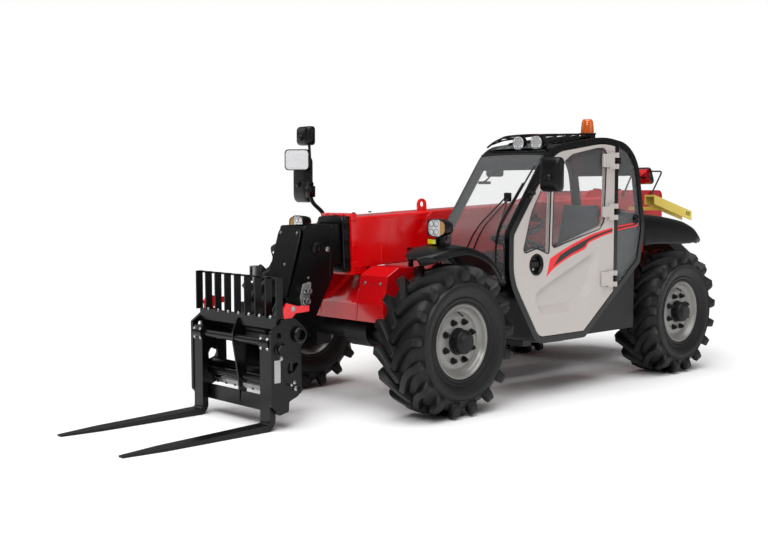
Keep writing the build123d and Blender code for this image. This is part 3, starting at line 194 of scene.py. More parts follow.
def oblong(a0, b0, a1, b1, radius, steps=5):
    """The rounded outline of a rectangle between two opposite corners."""
    return rounded([(a0, b0, radius), (a0, b1, radius), (a1, b1, radius), (a1, b0, radius)], steps)


def lifted(outline, plane, level):
    """A flat outline as points in space, on the plane square to x, y or z at a level."""
    a, b = np.asarray(outline, float).T
    flat = np.full_like(a, level)
    return np.stack({"x": (flat, a, b), "y": (a, flat, b), "z": (a, b, flat)}[plane], -1)


def slab(outline, low, high, plane="x", edge=0.0):
    """A plate: the outline extruded from low to high, its rims drawn in towards the middle by an edge."""
    outline = np.asarray(outline, float)
    if edge:
        ahead = np.roll(outline, -1, 0) - np.roll(outline, 1, 0)
        inward = np.stack((-ahead[:, 1], ahead[:, 0]), -1)
        inward /= np.maximum(np.linalg.norm(inward, axis=1), 1e-9)[:, None]
        x, y = outline.T
        area = np.sum(x * np.roll(y, -1) - np.roll(x, -1) * y)
        drawn = outline + inward * edge * np.sign(area)
        rings = [(drawn, low), (outline, low + edge), (outline, high - edge), (drawn, high)]
    else:
        rings = [(outline, low), (outline, high)]
    return sheet_of(np.stack([lifted(o, plane, h) for o, h in rings]), loop_columns=True, caps=True)


def brick(low, high, edge=0.002):
    """A block between two corners with its upright edges rounded and its rims eased."""
    (x0, y0, z0), (x1, y1, z1) = low, high
    outline = [(x0, y0, edge), (x1, y0, edge), (x1, y1, edge), (x0, y1, edge)]
    return slab(rounded(outline, 3), z0, z1, "z", edge)


def smooth_path(points, samples=40):
    """A Catmull-Rom curve through points: each span blends its four nearest points with cubics."""
    p = np.array(points, float)
    p = np.concatenate([2 * p[:1] - p[1:2], p, 2 * p[-1:] - p[-2:-1]])
    t = np.linspace(0, len(p) - 3 - 1e-9, samples)
    i, f = t.astype(int), (t % 1)[:, None]
    a, b, c, d = p[i], p[i + 1], p[i + 2], p[i + 3]
    return 0.5 * (2 * b + (c - a) * f + (2 * a - 5 * b + 4 * c - d) * f**2 + (3 * b - a - 3 * c + d) * f**3)


def directions(path):
    """The unit direction in which a path runs at each of its points."""
    ahead = np.gradient(path, axis=0)
    return ahead / np.linalg.norm(ahead, axis=1)[:, None]


def piped(path, radius, sides=12):
    """A round tube: at each point of the path, a circle square to the path's direction. The circle's
    first direction is square to the path and to the path's own mean turning axis."""
    path = np.asarray(path, float)
    ahead = directions(path)
    turning = np.cross(ahead[:-1], ahead[1:]).sum(0)
    if np.linalg.norm(turning) < 1e-3:
        turning = basis(ahead[0])[0]
    u = np.cross(ahead, turning)
    u /= np.linalg.norm(u, axis=1)[:, None]
    v = np.cross(ahead, u)
    a = np.arange(sides) * 2 * pi / sides
    ring = np.cos(a)[:, None] * u[:, None] + np.sin(a)[:, None] * v[:, None]
    radius = np.broadcast_to(radius, len(path))[:, None, None]
    return sheet_of(path[:, None] + radius * ring, loop_columns=True, caps=True)


def bent(points, bend):
    """A path of straight runs joined by arcs of one radius, in points close enough to look round."""
    p = np.array(points, float)
    pieces = [p[:1]]
    for a, b, c in zip(p, p[1:], p[2:]):
        to_a, to_c = a - b, c - b
        reach = min(bend, 0.45 * np.linalg.norm(to_a), 0.45 * np.linalg.norm(to_c))
        start, end = b + to_a / np.linalg.norm(to_a) * reach, b + to_c / np.linalg.norm(to_c) * reach
        t = np.linspace(0, 1, 7)[:, None]
        pieces.append((1 - t) ** 2 * start + 2 * t * (1 - t) * b + t**2 * end)
    return np.concatenate(pieces + [p[-1:]])


def hex_head(centre, axis, radius, height, washer=True):
    """A hexagon head: a six-sided turned profile with its top edge cut back, on a round washer."""
    head = turned([(0, radius), (height * 0.8, radius), (height, radius * 0.86)], centre, axis, 6)
    if not washer:
        return head
    disc = turned([(-0.0005, radius * 1.35), (height * 0.18, radius * 1.35)], centre, axis, 20)
    return joined(head, disc)


def dressed(name, parts, body, replaces=(), crease=35, subdivide=0, recalc=True):
    """One finished piece from parts of (surface, finish), given from the front axle line: a mesh with its
    place in it, that rides a body. The crease is the angle in degrees past which an edge stays sharp.
    With recalc, points that meet are merged and the faces of closed skins turned outwards."""
    surface = joined(*[s for s, _ in parts])
    mesh = bpy.data.meshes.new(name)
    mesh.from_pydata((surface[0] + (0, AXLE_Y, 0)).tolist(), [], surface[1])
    materials = list(dict.fromkeys(m for _, m in parts))
    for m in materials:
        mesh.materials.append(finish(m))
    index = np.concatenate([np.full(len(s[1]), materials.index(m), np.int32) for s, m in parts])
    mesh.polygons.foreach_set("material_index", index)
    if recalc:
        shape = bmesh.new()
        shape.from_mesh(mesh)
        bmesh.ops.remove_doubles(shape, verts=shape.verts, dist=1e-6)
        bmesh.ops.recalc_face_normals(shape, faces=shape.faces)
        shape.to_mesh(mesh)
        shape.free()
    mesh.shade_smooth()
    mesh.set_sharp_from_angle(angle=radians(crease))
    piece = bpy.data.objects.new(name, mesh)
    bpy.context.scene.collection.objects.link(piece)
    if subdivide:
        levels = piece.modifiers.new("subdivide", "SUBSURF")
        levels.levels = levels.render_levels = subdivide
    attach(piece, body)
    if replaces:
        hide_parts(*replaces)
    return piece


# ---------------------------------------------------------------- finishes


def linear(code):
    """A linear colour from an sRGB hex value: c/12.92 below 0.04045, else ((c + 0.055)/1.055)^2.4."""
    c = np.array([int(code[i:i + 2], 16) for i in (1, 3, 5)]) / 255
    c = np.where(c <= 0.04045, c / 12.92, ((c + 0.055) / 1.055) ** 2.4)
    return (*c.tolist(), 1.0)


def add(tree, kind, links=None, values=None, **settings):
    """One node with its settings, given to its sockets by name where it has them, the values of sockets
    that go by a number or by several words, and its links."""
    node = tree.nodes.new(kind)
    for key, value in settings.items():
        if key in node.inputs:
            node.inputs[key].default_value = value
        else:
            setattr(node, key, value)
    for key, value in (values or {}).items():
        node.inputs[key].default_value = value
    for key, (source, output) in (links or {}).items():
        tree.links.new(source.outputs[output], node.inputs[key])
    return node


WET_COAT = {"Coat Weight": 0.5, "Coat Roughness": 0.08}     # the clear depth of enamel laid on wet

# Each finish: its colour, the colour it drifts to, how large the drift is in mm, its roughness and
# how far that wanders, the size of its grain in mm and the height of the grain in mm, and sockets
# that are the same all over.
FINISHES = {
    # wet enamel sprayed on plate: a deep gloss under a very fine orange peel, drawn three times coarser
    "red_sprayed_enamel": ("#C90A12", "#B90810", 420, 0.22, 0.06, 9, 0.05, WET_COAT),
    "red_sprayed_boom": ("#EB0008", "#DA0007", 600, 0.20, 0.05, 9, 0.05, WET_COAT),
    # the same enamel, brighter, on small levers
    "bright_red_enamel": ("#F01A26", "#DA1420", 120, 0.28, 0.05, 8, 0.05, {"Coat Weight": 0.3}),
    # two-pack black on welded plate: half gloss, with the plate's mill waves faintly in it
    "black_satin_enamel": ("#070708", "#050506", 260, 0.30, 0.08, 7, 0.10, {"Specular IOR Level": 0.3}),
    "black_gloss_enamel": ("#040405", "#030303", 300, 0.18, 0.05, 9, 0.05,
                           {"Specular IOR Level": 0.3, "Coat Weight": 0.15}),
    # castings painted as they come: sand grain under a duller coat
    "painted_cast_iron": ("#0E0E0F", "#09090A", 140, 0.42, 0.08, 6, 0.5, {"Specular IOR Level": 0.3}),
    # injected polypropylene: a spark-eroded leather grain that scatters highlights
    "grained_polypropylene": ("#050506", "#040404", 200, 0.34, 0.06, 5, 0.16, {"Specular IOR Level": 0.28}),
    # vulcanised rubber: dull, faintly bloomed grey, with mould grain
    "moulded_tyre_rubber": ("#0D0D0D", "#090909", 90, 0.50, 0.10, 5, 0.35, {"Specular IOR Level": 0.35}),
    # silver-grey enamel baked on pressed steel
    "silver_grey_enamel": ("#8F8D8A", "#83817E", 160, 0.34, 0.06, 8, 0.06, {"Metallic": 0.25}),
    # pale warm enamel on the pressed door skin
    "pale_beige_enamel": ("#BEB7B3", "#B5AEAA", 500, 0.30, 0.05, 9, 0.05,
                          {"Coat Weight": 0.4, "Coat Roughness": 0.1}),
    # brushed yellow enamel on the folded prop
    "yellow_enamel": ("#EBD262", "#DCC350", 200, 0.34, 0.06, 8, 0.08, {}),
    # chrome plate ground and polished on a rod
    "hard_chrome_plate": ("#D6D8DA", "#C9CBCE", 100, 0.10, 0.03, 12, 0.01, {"Metallic": 1.0}),
    # bright zinc on pressed and turned fasteners
    "zinc_plated_steel": ("#B4B6B8", "#9A9C9E", 30, 0.32, 0.10, 5, 0.12, {"Metallic": 1.0}),
    # steel rubbed bright where a part slides
    "rubbed_bright_steel": ("#A9AAAC", "#6E6F71", 60, 0.28, 0.12, 6, 0.10, {"Metallic": 1.0}),
    # vapour-polished amber polycarbonate over a reflector
    "amber_polycarbonate": ("#E56A12", "#C2520A", 60, 0.12, 0.03, 14, 0.02,
                            {"Subsurface Weight": 0.2, "Coat Weight": 0.6}),
    "amber_lens": ("#B8863A", "#A0722E", 25, 0.14, 0.04, 9, 0.25, {"Coat Weight": 0.8}),
    # silvered reflector under a clear moulded cover
    "silvered_reflector": ("#F2F3F4", "#D2D4D7", 22, 0.22, 0.05, 18, 0.25,
                           {"Metallic": 0.35, "Coat Weight": 1.0}),
    # injected ABS trim inside the cab: dull, with a fine leather grain
    "charcoal_moulded_abs": ("#1B1C1D", "#151617", 160, 0.48, 0.06, 5, 0.15, {}),
    # grey laminated glass in the roof, mirror-like at a glance
    "tinted_roof_glass": ("#5A5E61", "#4E5255", 400, 0.05, 0.02, 60, 0.0, {"Coat Weight": 1.0}),
    # silvered glass, and a mirror face coloured pale as a painted reflection of the white sky it looks at
    "mirror_glass": ("#E8EAEC", "#DFE2E5", 200, 0.03, 0.01, 60, 0.0, {"Metallic": 1.0}),
    "painted_sky_reflection_face": ("#E9EAEC", "#DCDDE0", 120, 0.16, 0.03, 40, 0.01, {"Coat Weight": 1.0}),
    # cast vinyl films: flat, thin and smooth
    "red_vinyl_film": ("#F2262A", "#EA2024", 200, 0.36, 0.03, 20, 0.01, {}),
    "black_vinyl_film": ("#202124", "#1B1C1F", 200, 0.36, 0.03, 20, 0.01, {}),
    "silver_vinyl_film": ("#B2B2B3", "#A5A5A6", 120, 0.36, 0.05, 20, 0.01, {"Metallic": 0.2}),
    # moulded prisms behind a clear face
    "yellow_reflector": ("#F4EA18", "#E8DC10", 20, 0.2, 0.03, 6, 0.2, {"Coat Weight": 1.0}),
    # extruded rubber round the panes
    "window_gasket": ("#0C0C0D", "#090909", 80, 0.5, 0.05, 6, 0.1, {}),
    # bare grey iron, sand cast
    "cast_engine_iron": ("#56585A", "#3C3E40", 90, 0.55, 0.1, 7, 0.6, {"Metallic": 0.3}),
}


def new_material(name, sockets):
    """A new material with its shader's sockets set: the material, its tree, its shader, and the link
    that gives a texture the piece's Object coordinates."""
    material = bpy.data.materials.new(name)
    material.use_nodes = True
    tree = material.node_tree
    shader = tree.nodes["Principled BSDF"]
    for key, value in sockets.items():
        shader.inputs[key].default_value = value
    return material, tree, shader, {"Vector": (add(tree, "ShaderNodeTexCoord"), "Object")}


def enamelled(name, base, drift, patch, roughness, wander, grain, height, sockets):
    """A finish whose colour drifts in soft patches, whose roughness wanders with them, and whose
    grain stands as fine noise; patch and grain sizes are millimetres."""
    material, tree, shader, place = new_material(name, sockets)
    patches = add(tree, "ShaderNodeTexNoise", place, Scale=MM / patch, Detail=3.0)
    colour = add(tree, "ShaderNodeMix", {"Factor": (patches, "Fac")}, {6: base, 7: drift}, data_type="RGBA")
    rough = add(tree, "ShaderNodeMapRange", {"Value": (patches, "Fac")},
                {"To Min": roughness - wander, "To Max": roughness + wander})
    peel = add(tree, "ShaderNodeTexNoise", place, Scale=MM / grain, Detail=2.0)
    bump = add(tree, "ShaderNodeBump", {"Height": (peel, "Fac")}, Strength=1.0, Distance=height / MM)
    tree.links.new(colour.outputs[2], shader.inputs["Base Color"])
    tree.links.new(rough.outputs["Result"], shader.inputs["Roughness"])
    tree.links.new(bump.outputs["Normal"], shader.inputs["Normal"])
    return material


def safety_glass(name):
    """Laminated safety glass: mostly clear, its pale grey colour a painted reflection of the white surround, greyer and
    mirror-like at a glance.
    """
    material, tree, shader, place = new_material(name, {"Roughness": 0.02, "IOR": 1.52})
    reflection_veil_drift = add(tree, "ShaderNodeTexNoise", place, Scale=1.5)
    # the pale greys are a painted reflection of the white surround, drifting in wide soft patches
    colour = add(tree, "ShaderNodeMix", {"Factor": (reflection_veil_drift, "Fac")},
                 {6: linear("#C4C8CA"), 7: linear("#CCD0D2")}, data_type="RGBA")
    glance = add(tree, "ShaderNodeLayerWeight", Blend=0.25)
    cover = add(tree, "ShaderNodeMapRange", {"Value": (glance, "Facing")}, {"To Min": 0.040, "To Max": 0.22})
    tree.links.new(colour.outputs[2], shader.inputs["Base Color"])
    tree.links.new(cover.outputs["Result"], shader.inputs["Alpha"])
    material.surface_render_method = "BLENDED"
    return material


def woven_polyester(name):
    """Seat cover woven from 1.2 mm polyester yarn, drawn at 5 mm so that the threads can be seen:
    two crossed waves give the over and under of warp and weft, and a sheen gives the fibre's halo."""
    material, tree, shader, place = new_material(name, {"Sheen Weight": 0.4, "Roughness": 0.85})
    threads = MM / 5 / 6.28     # gives about 100 bands to the metre, each of two threads
    warp, weft = [add(tree, "ShaderNodeTexWave", place, bands_direction=way, Scale=threads, Distortion=0.4)
                  for way in ("X", "Z")]
    weave = add(tree, "ShaderNodeMath", {0: (warp, "Fac"), 1: (weft, "Fac")}, operation="MULTIPLY")
    colour = add(tree, "ShaderNodeMix", {"Factor": (weave, "Value")},
                 {6: linear("#2E3033"), 7: linear("#45484C")}, data_type="RGBA")
    bump = add(tree, "ShaderNodeBump", {"Height": (weave, "Value")}, Strength=0.8, Distance=0.0012)
    tree.links.new(colour.outputs[2], shader.inputs["Base Color"])
    tree.links.new(bump.outputs["Normal"], shader.inputs["Normal"])
    return material


SPECIAL = {"safety_glass": safety_glass, "woven_polyester": woven_polyester}
OWN_COLOUR = {
    # finish: the property that gives its colour
    "red_sprayed_enamel": "body",
    "red_sprayed_boom": "boom",
    "pale_beige_enamel": "door",
    "silver_grey_enamel": "rim",
    "yellow_enamel": "prop",
    "red_vinyl_film": "stripe",
}


def finish(name):
    """The material of that name, made the first time that it is asked for."""
    if name in bpy.data.materials:
        return bpy.data.materials[name]
    if name in SPECIAL:
        return SPECIAL[name](name)
    base, drift, *rest = FINISHES[name]
    own = OWN_COLOUR.get(name)
    base = (*getattr(bpy.context.scene.handler_colours, own), 1.0) if own else linear(base)
    return enamelled(name, base, linear(drift), *rest)


CARRIED = {
    # finish: the CAD nodes that keep their own shape and take it
    "red_sprayed_enamel": ("chassis_frame", "engine_hood"),
    "red_sprayed_boom": ("outer_boom",),
    "bright_red_enamel": ("latch_levers",),
    "black_gloss_enamel": ("cab_frame",),
    "black_satin_enamel": ("cross_members", "boom_head", "hitch_frame", "carriage_frame", "backrest",
                           "fork_left", "fork_right", "inner_boom", "lift_barrel", "tilt_barrel"),
    "painted_cast_iron": ("front_axle", "rear_axle", "knuckle_fl", "knuckle_fr", "knuckle_rl", "knuckle_rr"),
    "grained_polypropylene": ("side_tank", "console"),
    "charcoal_moulded_abs": ("steering_column",),
    "pale_beige_enamel": ("door",),
    "safety_glass": ("cab_glass", "door_glass"),
    "yellow_enamel": ("safety_prop",),
    "hard_chrome_plate": ("lift_rod", "tilt_rod"),
    "cast_engine_iron": ("engine_block",),
}


# ---------------------------------------------------------------- wheels

# Half of the carcass and tread's outside: distance from the wheel's middle plane, radius
CARCASS = (
    (0.140, 0.243), (0.158, 0.252), (0.163, 0.262), (0.160, 0.272), (0.168, 0.280), (0.171, 0.292),
    (0.166, 0.300), (0.172, 0.308), (0.184, 0.330), (0.190, 0.352), (0.192, 0.372), (0.190, 0.384),
    (0.195, 0.388), (0.196, 0.394), (0.190, 0.398), (0.182, 0.402), (0.174, 0.420), (0.162, 0.440),
    (0.142, 0.457), (0.112, 0.467), (0.060, 0.472), (0.000, 0.474),
)
# Along a lug from the middle of the tread, over the shoulder and down the side: where its foot and
# its face lie, as distance from the middle plane and radius, and half the width of its face
LUG = np.array((
    # foot x, foot r, face x, face r, half width
    (-0.014, 0.466, -0.014, 0.503, 0.021),
    (-0.006, 0.466, -0.006, 0.515, 0.023),
    (0.040, 0.464, 0.040, 0.515, 0.023),
    (0.080, 0.462, 0.080, 0.5145, 0.023),
    (0.116, 0.456, 0.118, 0.513, 0.024),
    (0.142, 0.446, 0.150, 0.509, 0.026),
    (0.158, 0.434, 0.180, 0.501, 0.028),
    (0.166, 0.424, 0.196, 0.480, 0.029),
    (0.170, 0.414, 0.198, 0.452, 0.028),
    (0.176, 0.406, 0.195, 0.428, 0.025),
    (0.180, 0.402, 0.188, 0.414, 0.020),
))
LUG_SWEEP = radians(22)
SHOULDER = 0.18                 # from the middle plane to where the bars turn down


def lug(start, side, narrow):
    """A tread bar: a trapezoid section carried along a line that sweeps round the tyre as it leaves the
    middle plane, angle = start + sweep (1 - (1 - u)^1.6), u being the share of the way to the shoulder."""
    foot_x, foot_r, face_x, face_r, half = LUG.T
    share = foot_x / SHOULDER
    angle = start + LUG_SWEEP * (1 - (1 - np.clip(share, 0, 1)) ** 1.6 - np.clip(-share, 0, 1))
    out = np.stack((np.zeros_like(angle), np.sin(angle), np.cos(angle)), -1)
    foot = foot_r[:, None] * out + foot_x[:, None] * (1, 0, 0)
    face = face_r[:, None] * out + face_x[:, None] * (1, 0, 0)
    ahead = np.gradient(foot, axis=0)
    across = np.cross(ahead, face - foot)
    across /= np.linalg.norm(across, axis=1)[:, None]
    # offsets across in half widths, and height from foot to face
    section = ((-1.45, 0.0), (-1.08, 0.80), (-0.86, 1.0), (0.86, 1.0), (1.08, 0.80), (1.45, 0.0))
    points = np.stack([
        foot + up * (face - foot) + (offset * half * narrow)[:, None] * across for offset, up in section
    ], 1)
    return sheet_of(points * (side, 1, 1), loop_columns=True, caps=True)


def tyre(centre):
    """One tyre: the carcass turned from its half section and its mirror, with both rows of bars."""
    section = [*CARCASS, *((-x, r) for x, r in CARCASS[-2::-1]), (-0.10, 0.241), (0.10, 0.241)]
    sizes = bpy.context.scene.handler_sizes
    pitch = 2 * pi / sizes.bars
    bars = [lug((i + stagger) * pitch, side, sizes.bar_width)
            for i in range(sizes.bars) for side, stagger in ((1, 0.0), (-1, 0.5))]
    return moved(joined(turned(section, (0, 0, 0), sides=96, closed=True), *bars), centre)


NUTS = 8                        # on each wheel
NUT_CIRCLE, HUB_CIRCLE = 0.1375, 0.066      # radii on which the nuts and the hub cover's bolts stand


def rim(centre, side):
    """One wheel: a pressed rim and disc turned from a closed section, with its hub, nuts and valve."""
    section = (
        (0.146, 0.256), (0.156, 0.253), (0.158, 0.246), (0.152, 0.238), (0.140, 0.233), (0.122, 0.224),
        (0.112, 0.212), (0.107, 0.200), (0.112, 0.190), (0.118, 0.178), (0.119, 0.160), (0.118, 0.092),
        (0.106, 0.092), (0.104, 0.178), (0.096, 0.200), (0.080, 0.218), (-0.100, 0.222), (-0.140, 0.230),
        (-0.156, 0.246), (-0.156, 0.253), (-0.146, 0.256), (-0.135, 0.243), (0.0, 0.236), (0.135, 0.243),
    )
    hub = (
        (0.060, 0.091), (0.122, 0.091), (0.124, 0.089), (0.126, 0.082), (0.150, 0.082), (0.152, 0.079),
        (0.154, 0.082), (0.182, 0.081), (0.188, 0.077), (0.192, 0.068), (0.205, 0.056), (0.211, 0.050),
        (0.212, 0.012),
    )
    steel = turned(section, (0, 0, 0), sides=96, closed=True)
    black = [turned(hub, (0, 0, 0), sides=64), turned(((-0.15, 0.075), (-0.06, 0.09), (0.07, 0.092)), (0, 0, 0))]
    for i in range(NUTS):
        a, b = (i + 0.5) * 2 * pi / NUTS, i * 2 * pi / NUTS
        seat = np.array((0.118, NUT_CIRCLE * sin(a), NUT_CIRCLE * cos(a)))
        black += [
            button(seat, (1, 0, 0), 0.024, 0.004, 0.021, 0.006, 20),
            hex_head(seat + (0.005, 0, 0), (1, 0, 0), 0.0185, 0.024, washer=False),
            turned(((0.02, 0.010), (0.038, 0.010), (0.040, 0.008)), seat, sides=12),
            hex_head((0.189, HUB_CIRCLE * sin(b), HUB_CIRCLE * cos(b)), (1, 0, 0), 0.006, 0.007, washer=False),
        ]
    valve = ((0, 0.004), (0.035, 0.004), (0.036, 0.006), (0.05, 0.006))
    black.append(turned(valve, (0.108, 0.01, 0.196), (0.5, 0, -0.3), 10))
    mesh = [(steel, "silver_grey_enamel"), (joined(*black), "painted_cast_iron")]
    if side < 0:
        mesh = opposite(mesh)
    return [(moved(s, centre), m) for s, m in mesh]


def build_wheels():
    """Four tyres and four wheels, each pair riding its own wheel body."""
    for corner, side in CORNERS:
        centre = middle("tyre_" + corner) - (0, AXLE_Y, 0)
        body = "wheel_" + corner
        dressed("tyre_treaded_" + corner, [(tyre(centre), "moulded_tyre_rubber")], body,
                ["tyre_" + corner], crease=32)
        dressed("wheel_disc_" + corner, rim(centre, side), body, ["rim_" + corner], crease=40)


# ---------------------------------------------------------------- fenders, nose, lamps


def shell_along(spine, inner, outer, section, depths=1):
    """A leaf whose section (share across, drop) is carried along a spine of (y, z): each point lies
    at x = inner + share (outer - inner) and below the spine by drop x depth, square to the spine."""
    spine = smooth_path([(0, y, z) for y, z in spine], 36)
    t = np.linspace(0, 1, len(spine))
    x_in = np.interp(t, np.linspace(0, 1, len(inner)), inner)
    x_out = np.interp(t, np.linspace(0, 1, len(outer)), outer)
    up = np.cross(directions(spine), (-1, 0, 0))
    share, drop = np.array(section).T
    depth = np.interp(t, np.linspace(0, 1, np.size(depths)), np.atleast_1d(depths))
    points = spine[:, None] - (depth[:, None] * drop)[..., None] * up[:, None]
    points = points + (x_in[:, None] + share[None] * (x_out - x_in)[:, None])[..., None] * (1, 0, 0)
    return sheet_of(points)


# Across a fender from its inner edge to its rolled outer lip: share of the width, drop in metres
FENDER_SECTION = (
    (0.000, 0.045), (0.000, 0.020), (0.012, 0.007), (0.040, 0.001), (0.120, -0.002), (0.300, -0.006),
    (0.500, -0.008), (0.700, -0.006), (0.860, -0.001), (0.930, 0.004), (0.972, 0.014), (0.994, 0.030),
    (1.000, 0.050), (0.998, 0.056), (0.988, 0.058), (0.978, 0.054), (0.972, 0.044),
)
# Across the deep rear scoop, whose side wall reaches down: share of the width, share of the depth
SCOOP_SECTION = (
    (0.000, 0.120), (0.000, 0.050), (0.012, 0.018), (0.040, 0.002), (0.200, -0.010), (0.450, -0.016), (0.700, 0.000),
    (0.850, 0.045), (0.930, 0.130), (0.975, 0.280), (0.994, 0.500), (1.000, 0.800), (1.004, 0.950), (1.002, 1.000),
    (0.990, 1.020), (0.975, 0.990), (0.968, 0.900),
)
FRONT_LEAF = (
    ((-0.275, 1.064), (-0.22, 1.096), (-0.12, 1.128), (0.00, 1.146), (0.10, 1.144), (0.24, 1.102),
     (0.35, 1.036), (0.455, 0.930)),
    (0.70, 0.60, 0.555, 0.545, 0.545, 0.545, 0.545), (0.79, 0.885, 0.918, 0.928, 0.930, 0.930, 0.915), 1,
)
FENDERS = (
    # name, side, CAD node that it stands for (with its twin), spine (y, z), inner x, outer x, depths
    ("front_fender_left", 1, "front_fenders", *FRONT_LEAF),
    ("front_fender_right", -1, "front_fenders", *FRONT_LEAF),
    ("rear_fender_left", 1, "rear_fenders",
     ((2.170, 1.322), (2.33, 1.330), (2.50, 1.318), (2.66, 1.298), (2.82, 1.268), (2.94, 1.222),
      (3.02, 1.160), (3.055, 1.120)),
     (0.52, 0.52, 0.52, 0.52, 0.52, 0.54), (0.905, 0.918, 0.926, 0.930, 0.928, 0.91),
     (0.235, 0.235, 0.225, 0.205, 0.170, 0.120, 0.060)),
    ("rear_fender_right", -1, "rear_fenders",
     ((2.150, 0.955), (2.33, 1.080), (2.50, 1.112), (2.69, 1.122), (2.88, 1.108), (3.05, 1.050),
      (3.2, 0.895)),
     (0.52, 0.52), (0.915, 0.926, 0.930, 0.930, 0.928, 0.91), 1),
)
LEAF_WALL = 0.006


def build_fenders():
    """Four fenders as thin moulded leaves with rolled lips, and the posts that carry them."""
    for name, side, node, spine, inner, outer, depths in FENDERS:
        leaf = shell_along(spine, inner, outer, FENDER_SECTION if depths == 1 else SCOOP_SECTION, depths)
        leaf = leaf if side > 0 else mirrored(leaf)
        piece = dressed(name, [(leaf, "grained_polypropylene")], "chassis", [node], crease=50,
                        recalc=False)
        wall = piece.modifiers.new("wall", "SOLIDIFY")
        wall.thickness, wall.offset = LEAF_WALL, -1
        wall.use_quality_normals = True
    post = joined(
        brick((0.396, 0.026, 0.985), (0.422, 0.058, 1.110), 0.004),
        brick((0.396, 0.014, 1.100), (0.585, 0.058, 1.126), 0.004),
        brick((0.560, -0.085, 1.122), (0.820, 0.060, 1.134), 0.003),
    )
    posts = joined(
        post,
        mirrored(post),
        brick((0.165, 2.700, 1.230), (0.560, 2.800, 1.268), 0.004),
        mirrored(brick((0.216, 2.640, 1.080), (0.560, 2.740, 1.112), 0.004)),
    )
    dressed("fender_posts", [(posts, "black_satin_enamel")], "chassis",
            ["front_fenders", "rear_fenders"], recalc=False)


TRAY_X = (-0.214, 0.164)        # the nose tray lies between these
BOX_X = ((1, 0.166, 0.438), (-1, -0.438, -0.222))     # side, then how far each box reaches


def build_nose():
    """The red covers under the boom: a sloping tray between two boxes with folded lids."""
    tray = ((-0.250, 0.612), (-0.250, 0.728), (-0.243, 0.738), (0.000, 0.905), (0.060, 0.905), (0.060, 0.893),
            (0.006, 0.893), (-0.238, 0.724), (-0.238, 0.612))
    rim = rounded(((-0.250, 0.610, 0.004), (-0.250, 0.752, 0.014), (0.010, 0.928, 0.01), (0.045, 0.928, 0.004),
                   (0.045, 0.890, 0.004), (-0.225, 0.712, 0.01), (-0.225, 0.610, 0.004)), 4)
    box = rounded(((-0.250, 0.610, 0.005), (-0.250, 0.735, 0.012), (-0.208, 0.925, 0.012), (-0.105, 0.984, 0.012),
                   (0.058, 0.984, 0.006), (0.058, 0.862, 0.02), (-0.215, 0.702, 0.02), (-0.215, 0.610, 0.005)), 4)
    lid = rounded(((-0.2235, 0.866, 0.003), (-0.2105, 0.934, 0.009), (-0.107, 0.9895, 0.009), (0.060, 0.9895, 0.004),
                   (0.060, 0.955, 0.004), (0.020, 0.955, 0.006), (0.008, 0.946, 0.006), (-0.085, 0.946, 0.01),
                   (-0.178, 0.866, 0.006)), 4)
    flange = rounded(((-0.250, 0.610, 0.004), (-0.258, 0.735, 0.012), (-0.236, 0.832, 0.01), (-0.205, 0.832, 0.006),
                      (-0.222, 0.735, 0.012), (-0.218, 0.610, 0.004)), 4)
    red, bolts = [slab(tray, *TRAY_X, "x", 0.001)], []
    for x in TRAY_X:
        red.append(slab(rim, x - 0.007, x + 0.001, "x", 0.0015))
    for side, low, high in BOX_X:
        red += [slab(box, low, high, "x", 0.002), slab(lid, low - 0.003, high + 0.002, "x", 0.0025)]
        edge = high - 0.004 if side > 0 else low - 0.003
        inner = low if side > 0 else high - 0.008
        red += [slab(flange, edge, edge + 0.007, "x", 0.0015), slab(flange, inner, inner + 0.008, "x", 0.0015)]
        for x in (low + 0.06, high - 0.06):
            bolts.append(button((x, -0.2215, 0.882), (0, -1, 0.15), 0.011, 0.002, 0.009, 0.0025))
            bolts.append(hex_head((x, -0.223, 0.882), (0, -1, 0.15), 0.0075, 0.006, washer=False))
    red.append(brick((-0.436, -0.249, 0.611), (0.436, -0.243, 0.640), 0.002))
    # a thin black plate across the nose behind the tray, under the boom, put there as painted shade for the shadowed
    # gap
    painted_shade_plate = brick((TRAY_X[0], 0.050, 0.890), (TRAY_X[1], 0.058, 0.980), 0.001)
    dressed("nose_covers", [(joined(*red), "red_sprayed_enamel"), (joined(*bolts), "zinc_plated_steel"),
                            (painted_shade_plate, "black_satin_enamel")],
            "chassis", ["nose_panels"], crease=30)


LAMP = np.array((0.748, 0.0, 1.270))


def lamp_outline(grow):
    """A headlamp's face: a rounded square drawn to a narrower rounded end on the outboard side."""
    corners = ((-0.083, -0.057, 0.030), (-0.083, 0.057, 0.030), (0.020, 0.063, 0.060), (0.085, 0.036, 0.034),
               (0.085, -0.036, 0.034), (0.020, -0.063, 0.060))
    return rounded([(x * grow, z * grow, r * grow) for x, z, r in corners], 6)


def lofted(rings):
    """A closed skin through outlines of equal length, each lying square to y at its own level."""
    return sheet_of(np.stack([lifted(o, "y", level) for o, level in rings]), loop_columns=True, caps=True)


